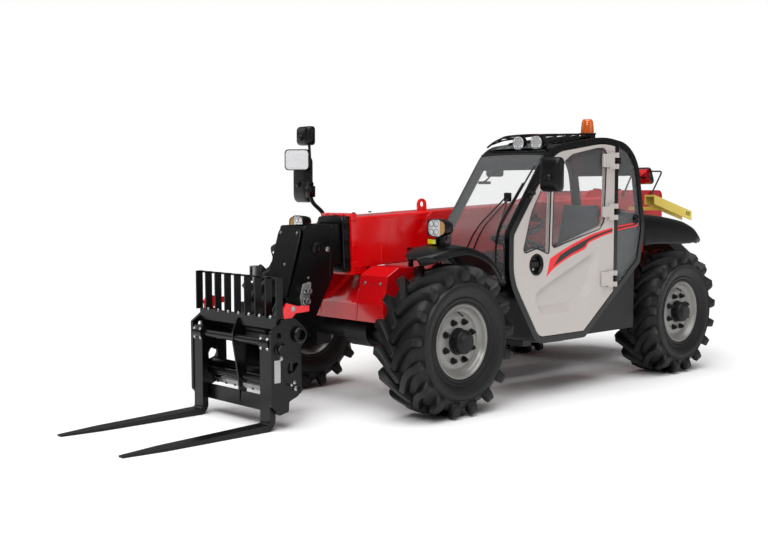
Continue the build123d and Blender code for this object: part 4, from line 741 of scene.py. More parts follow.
def headlamp():
    """One headlamp: domed case, reflector with its bowls, and the amber turn lens, with its bracket."""
    centre = LAMP[[0, 2]]
    case = lofted([(lamp_outline(s) + centre, y) for s, y in (
        (0.30, 0.060), (0.62, 0.055), (0.84, 0.035), (0.97, 0.000), (1.0, -0.030), (1.0, -0.052), (0.975, -0.058),
        (0.93, -0.056), (0.92, -0.046))])
    face = lamp_outline(0.925)
    clear = np.stack((np.minimum(face[:, 0], 0.030), face[:, 1]), -1) + centre
    amber = np.stack((np.maximum(face[:, 0], 0.033), face[:, 1]), -1) + centre
    lens = lofted([(clear, -0.044), (clear, -0.049), ((clear - centre) * 0.97 + centre, -0.052)])
    turn = lofted([(amber, -0.044), (amber, -0.049), ((amber - centre) * 0.98 + centre, -0.053)])
    bowls, rings = [], []
    for x, z in ((-0.050, 0.028), (-0.004, 0.028), (-0.050, -0.028), (-0.004, -0.028)):
        spot = (LAMP[0] + x, -0.051, LAMP[2] + z)
        bowl = ((0, 0.0195), (0.0025, 0.0185), (0.004, 0.012), (0.0045, 0.004))
        ring = ((0, 0.0225), (0.0018, 0.0225), (0.0018, 0.0195), (0, 0.0195))
        bowls.append(turned(bowl, spot, (0, -1, 0), 20))
        rings.append(turned(ring, spot, (0, -1, 0), 20, closed=True))
    x0 = LAMP[0] - 0.10
    cable = ((x0 + 0.06, 0.01, 1.165), (x0 + 0.05, 0.05, 1.175), (x0 + 0.09, 0.058, 1.19), (x0 + 0.1, 0.05, 1.23))
    bracket = joined(
        brick((x0 + 0.03, -0.020, 1.150), (x0 + 0.15, 0.030, 1.166), 0.003),
        brick((x0 + 0.055, -0.015, 1.160), (x0 + 0.125, 0.012, 1.222), 0.004),
        brick((x0 - 0.005, -0.034, 1.156), (x0 + 0.085, -0.018, 1.196), 0.003),
        piped(bent(cable, 0.02), 0.005, 8),
        hex_head((x0 + 0.11, -0.005, 1.166), (0, 0, 1), 0.009, 0.009),
    )
    plate = brick((x0 + 0.004, -0.038, 1.160), (x0 + 0.076, -0.033, 1.192), 0.002)
    return [
        (joined(case, *rings, bracket), "grained_polypropylene"),
        (joined(lens, *bowls), "silvered_reflector"),
        (turn, "amber_lens"),
        (plate, "yellow_reflector"),
    ]


def build_lamps():
    """Headlamps on their brackets, round lamps on the roof, and the beacon with its ribbed dome."""
    parts = headlamp()
    dressed("headlamp_pair", parts + opposite(parts), "chassis", ["headlamps"], crease=40)

    low, high = spot_box("roof_lights")
    z, r = (low[2] + high[2]) / 2 - 0.016, 0.057
    case = ((-0.012, 0.030), (0.000, 0.042), (0.016, 0.053), (0.040, r), (0.054, r), (0.057, 0.0545), (0.055, 0.050))
    face = ((0.040, 0.0505), (0.0565, 0.0505), (0.0585, 0.044), (0.060, 0.02), (0.0602, 0.004))
    led = ((0, 0.012), (0.0018, 0.012), (0.0018, 0.010), (0, 0.010))
    black, silver = [], []
    for x in (low[0] + r + 0.032, high[0] - r + 0.024):
        seat = (x, high[1] - 0.004, z)
        black.append(turned(case, seat, (0, -1, 0), 40))
        silver.append(turned(face, seat, (0, -1, 0), 40))
        # six small rings in a circle, and the seventh in its middle
        for i in range(7):
            a, b = i * pi / 3, 0.030 if i < 6 else 0.0
            spot = (x + b * cos(a), seat[1] - 0.0595, z + b * sin(a))
            black.append(turned(led, spot, (0, -1, 0), 14, closed=True))
        black.append(brick((x - 0.012, seat[1] - 0.03, low[2] - 0.012), (x + 0.012, seat[1] - 0.005, z - 0.04), 0.003))
    dressed("roof_lamp_pair", [(joined(*black), "grained_polypropylene"), (joined(*silver), "silvered_reflector")],
            "chassis", ["roof_lights"], crease=40)

    low, high = spot_box("beacon")
    x, y = (low[0] + high[0]) / 2, (low[1] + high[1]) / 2
    top = high[2] - low[2]
    base = turned(((0, 0.060), (0.020, 0.062), (0.034, 0.060), (0.038, 0.055), (0.046, 0.0515), (0.054, 0.0515)),
                  (x, y, low[2]), (0, 0, 1), 48)
    dome = ((0.052, 0.0495), (0.070, 0.0500), (0.110, 0.0470), (0.140, 0.0440), (0.156, 0.0400), (0.166, 0.0320),
            (top - 0.002, 0.0200), (top, 0.0050))
    shade = turned(dome, (x, y, low[2]), (0, 0, 1), 48)
    # the dome's 24 upright flutes: its radius waves by 0.6 mm
    p = shade[0]
    spin = np.arctan2(p[:, 1] - y, p[:, 0] - x)
    shade = (p + (p - (x, y, 0)) * (1, 1, 0) * (0.012 * np.cos(24 * spin))[:, None], shade[1])
    ears = brick((x - 0.085, y - 0.02, low[2] + 0.002), (x + 0.085, y + 0.02, low[2] + 0.020), 0.004)
    dressed("beacon_lamp", [(joined(base, ears), "grained_polypropylene"), (shade, "amber_polycarbonate")],
            "chassis", ["beacon"], crease=40)


def mirror_head(centre, width, height, depth, face, turn=0.0, facing=1):
    """A mirror: a case that swells from its rim to a domed back, with its glass set in the rim.
    facing is 1 where the glass looks to the rear and -1 where it looks ahead."""
    w, h = width / 2, height / 2
    shape = oblong(-w, -h, w, h, min(w, h) * 0.35, 6)
    swell = shape * (1 + 0.04 * (1 - (np.abs(shape) / (w, h)).min(1, keepdims=True)))
    case = ((0.20, 0.52), (0.55, 0.50), (0.80, 0.42), (0.94, 0.25), (1.0, 0.0), (1.0, -0.36), (0.97, -0.44),
            (0.93, -0.44), (0.92, -0.36))
    pane = ((0.925, 0.34), (0.925, 0.385), (0.915, 0.395), (0.5, 0.400))
    rings = [(swell * s, -facing * d * depth) for s, d in case]
    glass = [(swell * s, facing * d * depth) for s, d in pane]
    knob = turned(((0, 0.026), (0.012, 0.026), (0.020, 0.020), (0.024, 0.010)),
                  (0, -facing * 0.46 * depth, -0.1 * height), (0, -facing, 0), 20)
    parts = [(joined(lofted(rings), knob), "grained_polypropylene"), (lofted(glass), face)]
    return [(moved(rotated(s, turn, (0, 0, 1)), centre), m) for s, m in parts]


def build_mirrors():
    """The left mirror on its arm, three mirrors on the right stalk, and the one behind the boom."""
    left_turn = bpy.context.scene.handler_sizes.mirror_turn
    parts = [
        *mirror_head((1.122, 0.700, 1.632), 0.165, 0.236, 0.075, "mirror_glass", left_turn),
        *mirror_head((-1.060, 0.262, 1.611), 0.225, 0.362, 0.070, "mirror_glass", radians(-8)),
        # this mirror's pale face is a painted reflection of the white sky ahead of it
        *mirror_head((-1.010, 0.175, 1.768), 0.205, 0.165, 0.055, "painted_sky_reflection_face", radians(32), -1),
        *mirror_head((-1.000, 0.245, 1.960), 0.180, 0.150, 0.080, "mirror_glass", radians(-5)),
    ]
    # the arms: points, radius of their bends, radius and sides of their tube
    arms = (
        (((0.905, 0.722, 1.500), (1.050, 0.690, 1.600), (1.100, 0.668, 1.625)), 0.05, 0.011, 12),
        (((-0.870, 0.095, 1.130), (-0.870, 0.200, 1.190), (-0.875, 0.345, 1.330), (-0.928, 0.240, 1.440),
          (-0.930, 0.240, 1.560)), 0.05, 0.0165, 16),
        (((-0.930, 0.240, 1.480), (-0.930, 0.240, 1.700), (-0.955, 0.245, 1.960), (-1.000, 0.230, 1.960)),
         0.05, 0.011, 12),
        (((-0.935, 0.240, 1.600), (-0.985, 0.225, 1.585), (-1.030, 0.222, 1.602)), 0.02, 0.008, 10),
        (((-0.935, 0.240, 1.775), (-0.960, 0.215, 1.775), (-0.985, 0.202, 1.772)), 0.02, 0.008, 10),
        # behind the boom, a hoop from the left side plate and the mirror's own arm from it
        (((0.172, 2.950, 1.470), (0.172, 3.110, 1.700), (0.172, 3.585, 1.705), (0.172, 3.400, 1.480)),
         0.04, 0.0075, 12),
        (((0.172, 3.150, 1.700), (0.230, 3.150, 1.700), (0.300, 3.145, 1.670)), 0.02, 0.006, 8),
    )
    black = [piped(bent(points, bend), radius, sides) for points, bend, radius, sides in arms]
    black += [
        brick((-0.955, 0.205, 1.470), (-0.900, 0.268, 1.560), 0.006),
        brick((-0.950, 0.215, 1.560), (-0.915, 0.262, 1.590), 0.004),
        turned(((0, 0.022), (0.03, 0.022)), (0.925, 0.722, 1.500), (1, -0.2, 0.3), 16),
        brick((0.921, 0.700, 1.470), (0.930, 0.745, 1.530), 0.003),
    ]
    seat = (0.290, 3.105, 1.660)
    parts += [(rotated(s, radians(25), (1, 0, 0), seat), m)
              for s, m in mirror_head(seat, 0.176, 0.155, 0.045, "mirror_glass", facing=-1)]
    parts.append((joined(*black), "black_satin_enamel"))
    dressed("mirror_set", parts, "chassis", ["mirrors"], crease=45)


# ---------------------------------------------------------------- cab

# The cab's side view: its corners (y, z, radius) from the bottom front round over the roof
CAB_SIDE = rounded((
    (0.809, 0.418, 0.150), (0.497, 0.880, 0.420), (0.497, 1.225, 0.130), (0.969, 1.843, 0.330),
    (1.600, 1.932, 0.900), (2.040, 1.872, 0.330), (2.166, 1.220, 0.400), (2.104, 0.953, 0.060),
    (1.385, 0.418, 0.060),
), 16)
CAB_X0 = 0.272                  # the cab's inner side, towards the boom
CAB_MIDDLE = 1.2                # what lies ahead of this counts as the cab's front
SCREEN_FOOT, SCREEN_TOP = 0.868, 1.782      # heights of the windscreen's edges


def cab_run(low_z, high_z):
    """The stretch of the cab's side view between two heights on its front, going up in even steps."""
    y, z = CAB_SIDE.T
    run = CAB_SIDE[(z > low_z) & (z < high_z) & (y < CAB_MIDDLE)]
    run = run[np.argsort(run[:, 1])]
    steps = np.concatenate(([0], np.cumsum(np.linalg.norm(np.diff(run, axis=0), axis=1))))
    even = np.linspace(0, steps[-1], 40)
    return np.stack((np.interp(even, steps, run[:, 0]), np.interp(even, steps, run[:, 1])), -1)


def normals(run):
    """The outward unit normals of a path (y, z) that goes up the cab's front."""
    ahead = directions(run)
    return np.stack((-ahead[:, 1], ahead[:, 0]), -1)


def wrapped(run, x0, x1, proud, crown, columns=14):
    """A skin over a stretch of the cab's side view: points (x, run + proud x normal), bowed in the
    middle by a crown that falls to nothing at both edges."""
    normal = normals(run)
    across = np.linspace(0, 1, columns)
    lift = proud + crown * (1 - (2 * across - 1) ** 2)
    yz = run[:, None] + lift[None, :, None] * normal[:, None]
    x = np.broadcast_to(x0 + (x1 - x0) * across, yz.shape[:2])
    return sheet_of(np.concatenate((x[..., None], yz), -1))


def outward(z, x, proud):
    """A point on the windscreen or its surround at a height z, standing proud of it."""
    run = cab_run(0.6, 1.9)
    y, ahead, up = (np.interp(z, run[:, 1], part) for part in (run[:, 0], *normals(run).T))
    return np.array((x, y + proud * ahead, z + proud * up))


def build_glazing():
    """The windscreen bonded over the front pillars, and the gaskets round the panes."""
    run = cab_run(SCREEN_FOOT, SCREEN_TOP)
    pane = wrapped(run, CAB_X0 + 0.004, DOOR_X - 0.040, 0.004, 0.010)
    screen = dressed("windscreen_glass", [(pane, "safety_glass")], "chassis", ["windscreen"], crease=60,
                     recalc=False)
    wall = screen.modifiers.new("wall", "SOLIDIFY")
    wall.thickness, wall.offset = 0.005, -1
    gaskets = []
    for z in (SCREEN_FOOT + 0.004, SCREEN_TOP - 0.002):
        a, b = outward(z, CAB_X0 + 0.01, 0.008), outward(z, DOOR_X - 0.046, 0.008)
        bow = (a + b) / 2 * (1, 0, 0) + outward(z, 0, 0.016)
        gaskets.append(piped(smooth_path((a, (a + bow) / 2, bow, (b + bow) / 2, b), 12), 0.006, 8))
    dressed("windscreen_seals", [(joined(*gaskets), "window_gasket")], "chassis", recalc=False)
    beads = [ring_along(lifted(rounded(corners, 8), "x", DOOR_X - 0.001), 0.0045, 0.0035)
             for corners in (DOOR_WINDOW, QUARTER_WINDOW)]
    dressed("door_window_seals", [(joined(*beads), "window_gasket")], "door", recalc=False)


def build_roof():
    """The roof's pane and the slatted guard over it, and the dark lining low in the quarter pane."""
    y, z = CAB_SIDE.T
    top = CAB_SIDE[(y > 0.985) & (y < 1.75) & (z > 1.80)]
    top = top[np.argsort(top[:, 0])]
    even = np.linspace(top[0, 0], top[-1, 0], 24)
    run = np.stack((even, np.interp(even, top[:, 0], top[:, 1])), -1)
    pane = wrapped(run, CAB_X0 + 0.075, DOOR_X - 0.120, 0.006, 0.006)
    # the guard's front hoop, its rear bar on the roof, and the slats between them
    front, rear, bar_z = 1.000, 1.600, 1.955
    hoop = smooth_path([(x, front, z) for x, z in (
        (0.274, 1.850), (0.330, 1.882), (0.400, 1.908), (0.470, 1.925), (0.640, 1.930), (0.790, 1.924),
        (0.840, 1.895), (0.850, 1.855))], 40)
    guard = [piped(hoop, 0.0080, 8),
             piped([(0.300, rear, bar_z), (0.560, rear, bar_z + 0.005), (0.840, rear, bar_z)], 0.0070, 8)]
    for x in np.linspace(0.300, 0.835, 10):
        foot = float(np.interp(x, hoop[:, 0], hoop[:, 2]))
        slat = ((x, front, foot), (x, 1.200, max(foot, 1.905) + 0.012), (x, 1.400, 1.948), (x, rear, bar_z))
        guard.append(piped(smooth_path(slat, 10), 0.0050, 6))
    for x in (0.310, 0.830):
        guard.append(piped([(x, rear, 1.925), (x, rear, bar_z)], 0.0070, 8))
    lining = rounded(((1.742, 0.800, 0.01), (1.742, 1.302, 0.01), (2.085, 1.332, 0.02), (2.118, 1.225, 0.10),
                      (2.062, 0.985, 0.03), (1.850, 0.822, 0.03)), 5)
    dressed("roof_pane", [(pane, "tinted_roof_glass")], "chassis", crease=60, recalc=False)
    dressed("roof_guard", [(joined(*guard), "black_satin_enamel")], "chassis", crease=40)
    dressed("quarter_lining", [(slab(lining, DOOR_X - 0.050, DOOR_X - 0.042, "x", 0.002), "charcoal_moulded_abs")],
            "chassis", crease=40)


# The outlines of the seals of the door's two panes, as corners (y, z, radius)
DOOR_WINDOW = (
    (0.972, 1.103, 0.030), (0.988, 1.504, 0.200), (1.093, 1.719, 0.120), (1.205, 1.786, 0.200),
    (1.547, 1.846, 0.200), (1.637, 1.811, 0.030), (1.612, 1.293, 0.060), (1.562, 1.233, 0.060),
)
QUARTER_WINDOW = (
    (0.642, 1.072, 0.025), (0.735, 1.365, 0.400), (0.905, 1.612, 0.060), (0.960, 1.616, 0.020),
    (0.942, 1.060, 0.020), (0.800, 1.108, 0.060),
)


def ring_along(line, half_wide, half_tall):
    """A flat bead carried round a closed line on a plane square to x."""
    ahead = np.roll(line, -1, 0) - np.roll(line, 1, 0)
    ahead /= np.linalg.norm(ahead, axis=1)[:, None]
    side = np.cross(ahead, (1, 0, 0))
    section = ((-1, -1), (-0.8, 0.7), (-0.3, 1), (0.3, 1), (0.8, 0.7), (1, -1))
    points = np.stack([line + a * half_wide * side + b * half_tall * np.array((1, 0, 0)) for a, b in section], 1)
    return sheet_of(points, loop_rows=True, loop_columns=True)


# The stripe of the door and of the quarter behind it: upper and lower edges as (y, z), and the dark
# band inside it
STRIPE = (
    ((0.953, 1.030), (1.060, 1.072), (1.192, 1.118), (1.320, 1.157), (1.451, 1.192), (1.590, 1.218), (1.722, 1.239)),
    ((0.913, 0.900), (1.011, 0.962), (1.192, 1.034), (1.370, 1.086), (1.420, 1.128), (1.560, 1.167), (1.722, 1.200)),
)
BAND = (
    ((1.070, 1.050), (1.192, 1.096), (1.330, 1.139), (1.451, 1.174), (1.590, 1.203), (1.722, 1.226)),
    ((0.990, 0.972), (1.192, 1.052), (1.358, 1.102), (1.408, 1.140), (1.560, 1.181), (1.722, 1.213)),
)
REAR_STRIPE = (((1.762, 1.246), (1.940, 1.262), (2.085, 1.275)), ((1.762, 1.206), (1.940, 1.228), (2.070, 1.240)))
REAR_BAND = (((1.762, 1.234), (1.940, 1.251), (2.060, 1.263)), ((1.762, 1.219), (1.940, 1.239), (2.060, 1.251)))
FILM = 0.0006                   # thickness of a vinyl film, drawn thick enough to lie clear of the skin


def film(upper, lower, level):
    """A thin film between two edges on a plane square to x, its rims going down by its thickness."""
    a, b = (smooth_path([(level, y, z) for y, z in edge], 30) for edge in (upper, lower))
    rows = np.stack([a - (FILM, 0, 0), a, (a + b) / 2, b, b - (FILM, 0, 0)], 1)
    return sheet_of(rows, loop_columns=True, caps=True)


def build_door_trim():
    """The stripes, hinge covers, the round recess of the door's handle, and the quarter pane's latch."""
    for name, body, stripe, band, x in (
        ("door_stripe", "door", STRIPE, BAND, DOOR_X + 0.0005),
        ("quarter_stripe", "chassis", REAR_STRIPE, REAR_BAND, DOOR_X - 0.0080),
    ):
        films = [(film(*stripe, x), "red_vinyl_film"), (film(*band, x + FILM), "black_vinyl_film")]
        dressed(name, films, body)

    covers = []
    for z0, z1 in ((1.700, 1.800), (1.320, 1.400), (0.790, 0.900)):
        tall = z1 - z0
        covers.append(slab(oblong(1.572, z0, 1.694, z1, 0.012), DOOR_X - 0.002, DOOR_X + 0.022, "x", 0.006))
        covers.append(turned(((0, 0.0105), (0.004, 0.012), (tall - 0.012, 0.012), (tall - 0.008, 0.0105)),
                             (DOOR_X + 0.012, 1.702, z0 + 0.004), (0, 0, 1), 20))
        for z in (z0 + 0.025, z1 - 0.025):
            covers.append(button((DOOR_X + 0.021, 1.605, z), (1, 0, 0), 0.008, 0.003, 0.006, 0.004))
    dressed("door_hinge_covers", [(joined(*covers), "pale_beige_enamel")], "door")

    y, z = 0.797, 0.993
    cup = turned(((-0.034, 0.060), (-0.034, 0.078), (0.004, 0.078), (0.006, 0.074), (0.005, 0.066),
                  (-0.006, 0.060), (-0.028, 0.052), (-0.032, 0.020)), (DOOR_X, y, z), sides=56)
    paddle = slab(oblong(y - 0.052, z - 0.022, y + 0.040, z + 0.026, 0.018), DOOR_X - 0.030, DOOR_X - 0.006,
                  "x", 0.006)
    key = button((DOOR_X - 0.007, y - 0.032, z - 0.030), (1, 0, 0), 0.010, 0.004, 0.008, 0.005, 20)
    dressed("door_handle_recess", [(joined(cup, paddle), "grained_polypropylene"), (key, "zinc_plated_steel")],
            "door", ["door_handle"], crease=40)

    y, z = 2.045, 1.300
    dish = ((0, 0.040), (0.006, 0.040), (0.009, 0.036), (0.009, 0.030), (0.004, 0.028), (0.004, 0.006))
    grip = oblong(y - 0.026, z - 0.009, y + 0.026, z + 0.009, 0.004, 3)
    knob = joined(turned(dish, (DOOR_X - 0.008, y, z), sides=36),
                  slab(grip, DOOR_X - 0.004, DOOR_X + 0.012, "x", 0.002))
    dressed("quarter_glass_latch", [(knob, "grained_polypropylene")], "chassis")


def build_wipers():
    """The windscreen wiper: its twin arms, their pivots and hinge block, and its blade with its carrier."""
    black = []
    foot = 1.080
    for x0, x1, elbow in ((0.530, 0.782, 1.455), (0.600, 0.806, 1.430)):
        line = [outward(foot + t * (elbow - foot), x0 + t * (x1 - x0), 0.026 + 0.022 * t)
                for t in np.linspace(0, 1, 7)]
        black.append(piped(smooth_path(line, 20), 0.0055, 8))
        black.append(turned(((-0.03, 0.017), (0.004, 0.017), (0.008, 0.012)), line[0], (0, -1, 0.2), 18))
    block = outward(1.445, 0.794, 0.048)
    blade = [outward(z, x, 0.016) for x, z in (
        (0.862, 1.690), (0.850, 1.560), (0.838, 1.430), (0.826, 1.290), (0.818, 1.150), (0.812, 1.020))]
    black += [
        brick(block - (0.026, 0.014, 0.032), block + (0.026, 0.014, 0.032), 0.005),
        piped(smooth_path(blade, 28), 0.0065, 8),
        piped(smooth_path([p + (0, -0.015, 0.006) for p in blade[1:5]], 16), 0.0050, 8),
        piped(np.linspace(block, blade[3] + (0, -0.012, 0), 5), 0.0055, 8),
        brick(outward(1.06, 0.50, 0.0) - (0, 0.010, 0.014), outward(1.06, 0.64, 0.018) + (0, 0.0, 0.016), 0.004),
    ]
    dressed("windscreen_wiper", [(joined(*black), "black_satin_enamel")], "chassis", crease=40)


WHEEL_RADIUS = 0.172            # of the steering wheel


def build_inside():
    """The inside mirror, the steering wheel with its spokes and knob, and the column's shroud. The wheel
    is a circle carried round a circle square to the column."""
    parts = mirror_head((0.345, 1.000, 1.680), 0.150, 0.105, 0.030, "mirror_glass", turn=radians(6))
    black = [piped(bent(((0.345, 0.985, 1.660), (0.330, 0.93, 1.600), (0.300, 0.90, 1.580)), 0.02), 0.006, 8),
             brick((0.285, 0.880, 1.570), (0.395, 0.905, 1.592), 0.004)]
    low, high = spot_box("steering_column")
    centre = np.array(((low[0] + high[0]) / 2, 0.985, high[2] + 0.035))
    u, v, w = basis((0, -0.45, 1.0))
    a = np.linspace(0, 2 * pi, 49)[:-1]
    s = np.linspace(0, 2 * pi, 9)[:-1]
    out = np.cos(a)[:, None] * u + np.sin(a)[:, None] * v
    loop = centre + WHEEL_RADIUS * out
    ring = loop[:, None] + 0.014 * (np.cos(s)[None, :, None] * out[:, None] + np.sin(s)[None, :, None] * w)
    black.append(sheet_of(ring, loop_rows=True, loop_columns=True))
    for angle in (0.5, 2.6, 4.7):
        tip = centre + (WHEEL_RADIUS - 0.004) * (cos(angle) * u + sin(angle) * v)
        spoke = (centre - 0.028 * w, centre - 0.022 * w + (tip - centre) * 0.5, tip)
        black.append(piped(smooth_path(spoke, 8), 0.010, 8))
    black += [
        turned(((-0.05, 0.034), (-0.02, 0.040), (-0.008, 0.036), (-0.004, 0.010)), centre, w, 28),
        turned(((0, 0.012), (0.02, 0.016), (0.04, 0.021), (0.052, 0.012), (0.054, 0.004)), loop[10], w, 20),
        piped(np.linspace(centre - 0.04 * w, centre - 0.40 * w, 3), 0.030, 16),
        brick(centre - (0.075, 0.26, 0.60), centre - (-0.075, 0.10, 0.34), 0.02),
    ]
    parts.append((joined(*black), "charcoal_moulded_abs"))
    dressed("cab_controls", parts, "chassis", crease=40)


def cushion(low, high, crown, taper=0.0, side=15):
    """A padded block: a closed grid over a rounded box whose top swells by the crown, falling with
    (1 - u^2)(1 - v^2), whose sides pull in between the corners, and which has two sewn channels."""
    low, high = np.array(low), np.array(high)
    v, u = np.meshgrid(np.linspace(-1, 1, side), np.linspace(-1, 1, side), indexing="ij")
    round_off = (1 - np.abs(u) ** 6) ** 0.5 * (1 - np.abs(v) ** 6) ** 0.5
    half, mid = (high - low) / 2, (high + low) / 2
    x = mid[0] + u * half[0] * (1 - 0.045 * (1 - v**2)) * (1 - taper * (v + 1) / 2)
    y = mid[1] + v * half[1] * (1 - 0.03 * (1 - u**2))
    channel = 0.008 * np.exp(-((np.abs(u) - 0.58) / 0.05) ** 2) * round_off
    top = mid[2] + half[2] * (0.62 * round_off + 0.10) + crown * (1 - u**2) * (1 - v**2) - channel
    under = mid[2] - half[2] * (0.72 * round_off + 0.05)
    upper, lower = np.stack((x, y, top), -1), np.stack((x, y, under), -1)
    rims = [np.concatenate((f[0], f[1:, -1], f[-1, -2::-1], f[-2:0:-1, 0])) for f in (upper, lower)]
    wall = sheet_of(np.stack((rims[0], (rims[0] + rims[1]) / 2, rims[1])), loop_columns=True)
    return joined(sheet_of(upper), sheet_of(lower[:, ::-1]), wall)


def build_seat():
    """The operator's seat: a sewn cushion and a tall back, on their base, shell and armrests."""
    low, high = spot_box("seat")
    x0, x1 = low[0] + 0.012, high[0] - 0.012
    bottom = cushion((x0, low[1] + 0.02, 0.835), (x1, 1.585, 0.925), 0.020)
    # the back is made lying down, then stood up and leaned back by 12 degrees
    flat = cushion((x0 + 0.085, -0.270, -0.055), (x1 + 0.004, 0.270, 0.055), 0.014, taper=0.10)
    back = moved(rotated(flat, radians(78)), (0, 1.625, 1.150))
    for name, pad in (("seat_cushion", bottom), ("seat_back", back)):
        piece = dressed(name, [(pad, "woven_polyester")], "chassis", ["seat"], crease=180, subdivide=1)
    shell = rounded(((1.600, 0.880, 0.03), (1.695, 1.385, 0.03), (1.725, 1.385, 0.02), (1.645, 0.880, 0.03)), 5)
    arm = rounded(((1.30, 1.020, 0.02), (1.30, 1.055, 0.015), (1.60, 1.065, 0.015), (1.60, 1.020, 0.02)), 4)
    base = joined(
        slab(oblong(x0 + 0.03, 1.20, x1 - 0.03, 1.56, 0.02, 4), 0.565, 0.800, "z", 0.01),
        slab(oblong(x0, 1.17, x1, 1.60, 0.05), 0.798, 0.850, "z", 0.012),
        slab(shell, x0 + 0.11, x1 - 0.02, "x", 0.015),
        *(slab(arm, side, side + 0.038, "x", 0.006) for side in (x0 - 0.004, x1 - 0.034)),
    )
    dressed("seat_base", [(base, "charcoal_moulded_abs")], "chassis", ["seat"], crease=40)


# ---------------------------------------------------------------- boom, head and carriage

PIVOT_Y, PIVOT_Z = WHEELBASE + 0.660, 1.400
FLANGE_BACK = 3.620             # boom pivot to the front flange, along the boom


def along_boom(surface):
    """A surface laid out level, with its origin at the boom's pivot, turned down to the boom's slope."""
    return moved(rotated(surface, BOOM_DROP), (BOOM_X, PIVOT_Y, PIVOT_Z))


def build_boom():
    """Plates lapped on the outer boom, its flange with bolts, hose clips and the plastic collar."""
    half, front = 0.145, -FLANGE_BACK
    red, bolts, black = [], [], []
    # the doubler over the front end, its rear edge leaning back, and the long lapped top plate
    doubler = ((front + 0.018, -0.272, 0.002), (front + 0.018, 0.052, 0.002), (front + 0.420, 0.052, 0.01),
               (front + 0.375, -0.030, 0.12), (front + 0.300, -0.190, 0.05), (front + 0.300, -0.272, 0.01))
    lap = ((front + 0.640, 0.020, 0.015), (front + 0.640, 0.042, 0.012), (front + 0.760, 0.046, 0.03),
           (front + 0.815, 0.084, 0.03), (-0.250, 0.084, 0.01), (-0.250, 0.012, 0.01))
    for side in (1, -1):
        a, b = (half - 0.001, half + 0.0035) if side > 0 else (-half - 0.0035, -half + 0.001)
        face, lug_x = side * (half + 0.002), side * (half + 0.010)
        weld = [(side * (half + 0.001), front + y, z)
                for y, z in ((0.300, -0.268), (0.302, -0.180), (0.360, -0.04), (0.418, 0.048))]
        red += [
            slab(rounded(doubler, 6), a, b, "x", 0.001),
            slab(rounded(lap, 6), a, b, "x", 0.001),
            piped(smooth_path(weld, 24), 0.0035, 8),
            brick((face - 0.004, front + 0.285, -0.262), (face + 0.004, front + 0.303, -0.130), 0.002),
        ]
        for z in (-0.270, -0.120, 0.060):
            red.append(brick((lug_x - 0.006, front + 0.001, z), (lug_x + 0.006, front + 0.045, z + 0.045), 0.003))
    top_plate = ((-0.112, front + 0.55, 0.05), (-0.112, -0.30, 0.02), (0.112, -0.30, 0.02), (0.112, front + 0.75, 0.08))
    red.append(slab(rounded(top_plate, 6), 0.0855, 0.0895, "z", 0.001))
    for x in (-0.12, -0.04, 0.04, 0.12):
        red.append(brick((x - 0.032, front - 0.006, 0.090), (x + 0.032, front + 0.060, 0.112), 0.004))
    for x in (-0.135, 0.135):
        for z in (0.090, 0.0, -0.100, -0.200):
            bolts.append(hex_head((x, front, z), (0, -1, 0), 0.007, 0.006))
    for y in (front + 0.045, front + 0.20):
        black.append(button((0.135, y, 0.110), (0, 0, 1), 0.012, 0.006, 0.009, 0.009))
    plates = [(along_boom(s), "red_sprayed_boom") for s in red]
    plates += [(along_boom(s), "black_satin_enamel") for s in bolts + black]
    dressed("boom_plates", plates, "boom", crease=30)

    # the collar: a stepped frame round the inner section
    half_w, z0, z1 = 0.139, -0.300, 0.094
    rim = oblong(-half_w, z0, half_w, z1, 0.03, 6)
    mouth = oblong(-0.115, -0.238, 0.115, 0.050, 0.012, 6)
    rings = [(mouth, 0.0), (mouth, -0.058), (mouth * 1.02, -0.0615), (rim * 0.955, -0.0615), (rim * 0.985, -0.056),
             (rim * 0.985, -0.036), (rim, -0.033), (rim, -0.002), (rim * 0.98, 0.0)]
    points = np.stack([lifted(o, "y", front + level) for o, level in rings])
    collar = [sheet_of(points, loop_rows=True, loop_columns=True)]
    for x, z in ((-half_w, 0.03), (half_w, 0.03), (-half_w, -0.21), (half_w, -0.21), (half_w, -0.09)):
        collar.append(brick((x - 0.006, front - 0.050, z - 0.022), (x + 0.006, front - 0.010, z + 0.022), 0.003))
    collar.append(brick((-0.03, front - 0.055, z1 - 0.006), (0.03, front - 0.006, z1 + 0.006), 0.003))
    dressed("boom_seal_collar", [(along_boom(joined(*collar)), "grained_polypropylene")], "boom",
            ["boom_collar"])


